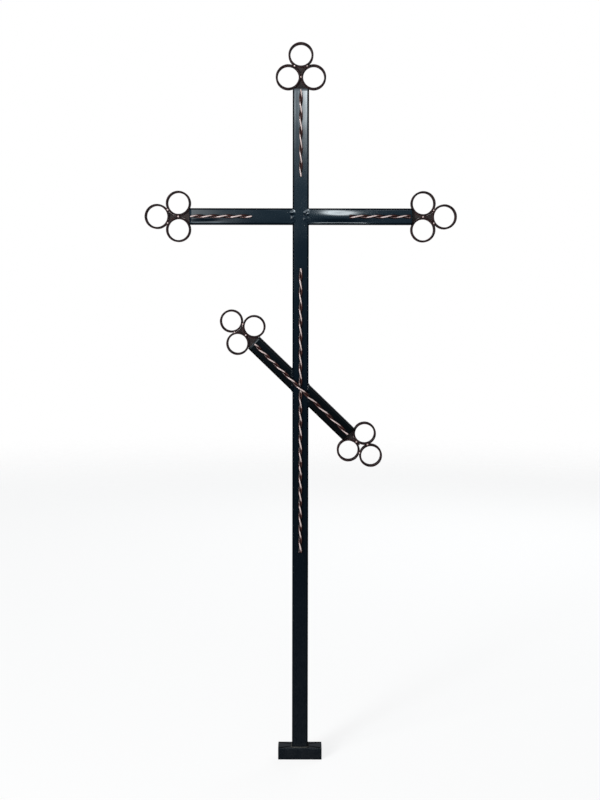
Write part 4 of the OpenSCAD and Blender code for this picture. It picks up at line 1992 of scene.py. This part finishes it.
    @staticmethod
    def _lamp(
        name: str, place: Sequence[float], size: tuple[float, float], watts: float, colour: Colour
    ) -> None:
        """Area lamp aimed at the cross's middle, kept out of mirror reflections.

        Args:
            name: its name.
            place: its place.
            size: its width and height.
            watts: its power.
            colour: its colour.
        """
        data = bpy.data.lights.new(name, "AREA")
        data.shape = "RECTANGLE"
        data.size, data.size_y = size
        data.energy = watts
        data.color = colour
        lamp = bpy.data.objects.new(name, data)
        lamp.location = place
        target = np.array([0.0, 0.0, 1.0]) - np.array(place)
        flat = math.hypot(target[0], target[1])
        lamp.rotation_euler = Euler(
            (math.pi / 2 + math.atan2(target[2], flat), 0.0, math.atan2(-target[0], target[1]))
        )
        lamp.visible_glossy = False
        bpy.context.scene.collection.objects.link(lamp)

    def _floor(self) -> None:
        """Pale disc under the foot, its rim faded out so that it meets the white behind it.

        Its rings are (r cos t, r sin t, 0), from next to nothing out to the floor's radius.
        """
        radii = np.array([0.1 * MM, 0.5, 1.5, 3.5, self.floor_radius])[:, None]
        turn = full_turn(96)
        grid = stacked(radii * np.cos(turn), radii * np.sin(turn), 0.0)
        index = np.arange(grid.shape[0] * grid.shape[1]).reshape(grid.shape[:2])
        beside = np.roll(index, -1, axis=1)
        quads = np.stack([index[:-1], index[1:], beside[1:], beside[:-1]], axis=-1).reshape(-1, 4)
        mesh = bpy.data.meshes.new("floor")
        mesh.from_pydata(grid.reshape(-1, 3).tolist(), [], quads.tolist())
        floor = bpy.data.objects.new("floor", mesh)
        floor.visible_glossy = False
        bpy.context.scene.collection.objects.link(floor)
        material, graph, shader = start_material("pale_floor")
        coords = graph.add("TexCoord").outputs["Object"]
        away = graph.add("VectorMath", {0: coords}, operation="LENGTH").outputs["Value"]
        fade_from = self.floor_fade * self.floor_radius
        graph.feed(shader, {
            "Base Color": (*self.floor_grey, 1.0),
            "Roughness": 0.9,
            "Emission Color": (1.0, 1.0, 1.0, 1.0),
            "Emission Strength": self.floor_glow,
            "Alpha": graph.spread(away, fade_from, self.floor_radius, (1.0, 0.0)),
        })
        mesh.materials.append(material)

    def _camera(self) -> None:
        """Camera in front of the cross, looking slightly down."""
        data = bpy.data.cameras.new("camera")
        data.sensor_width = self.sensor_mm
        data.lens = self.lens_mm
        camera = bpy.data.objects.new("camera", data)
        camera.location = (0.0, -self.camera_distance, self.camera_height)
        yaw = Matrix.Rotation(math.radians(self.yaw_deg), 3, "Z")
        tilt = Matrix.Rotation(math.radians(90 - self.pitch_deg), 3, "X")
        roll = Matrix.Rotation(math.radians(self.roll_deg), 3, "Z")
        camera.rotation_euler = (yaw @ tilt @ roll).to_euler()
        bpy.context.scene.collection.objects.link(camera)
        bpy.context.scene.camera = camera


def main() -> None:
    """Builds the studio and every piece."""
    logging.basicConfig(level=logging.INFO, format="%(name)s: %(message)s")
    Studio().build()
    finishes = Finishes.build()
    layout = Layout()
    TubeFrame(layout).pieces(finishes)
    Foot().piece(finishes.foot)
    for end in layout.ends:
        Trefoil(end, layout.tube_w).pieces(finishes)
    for pair in twisted_pairs(layout):
        pair.pieces(finishes.rods)
    WeldRuns(layout).pieces(finishes)


if __name__ == "__main__":
    main()
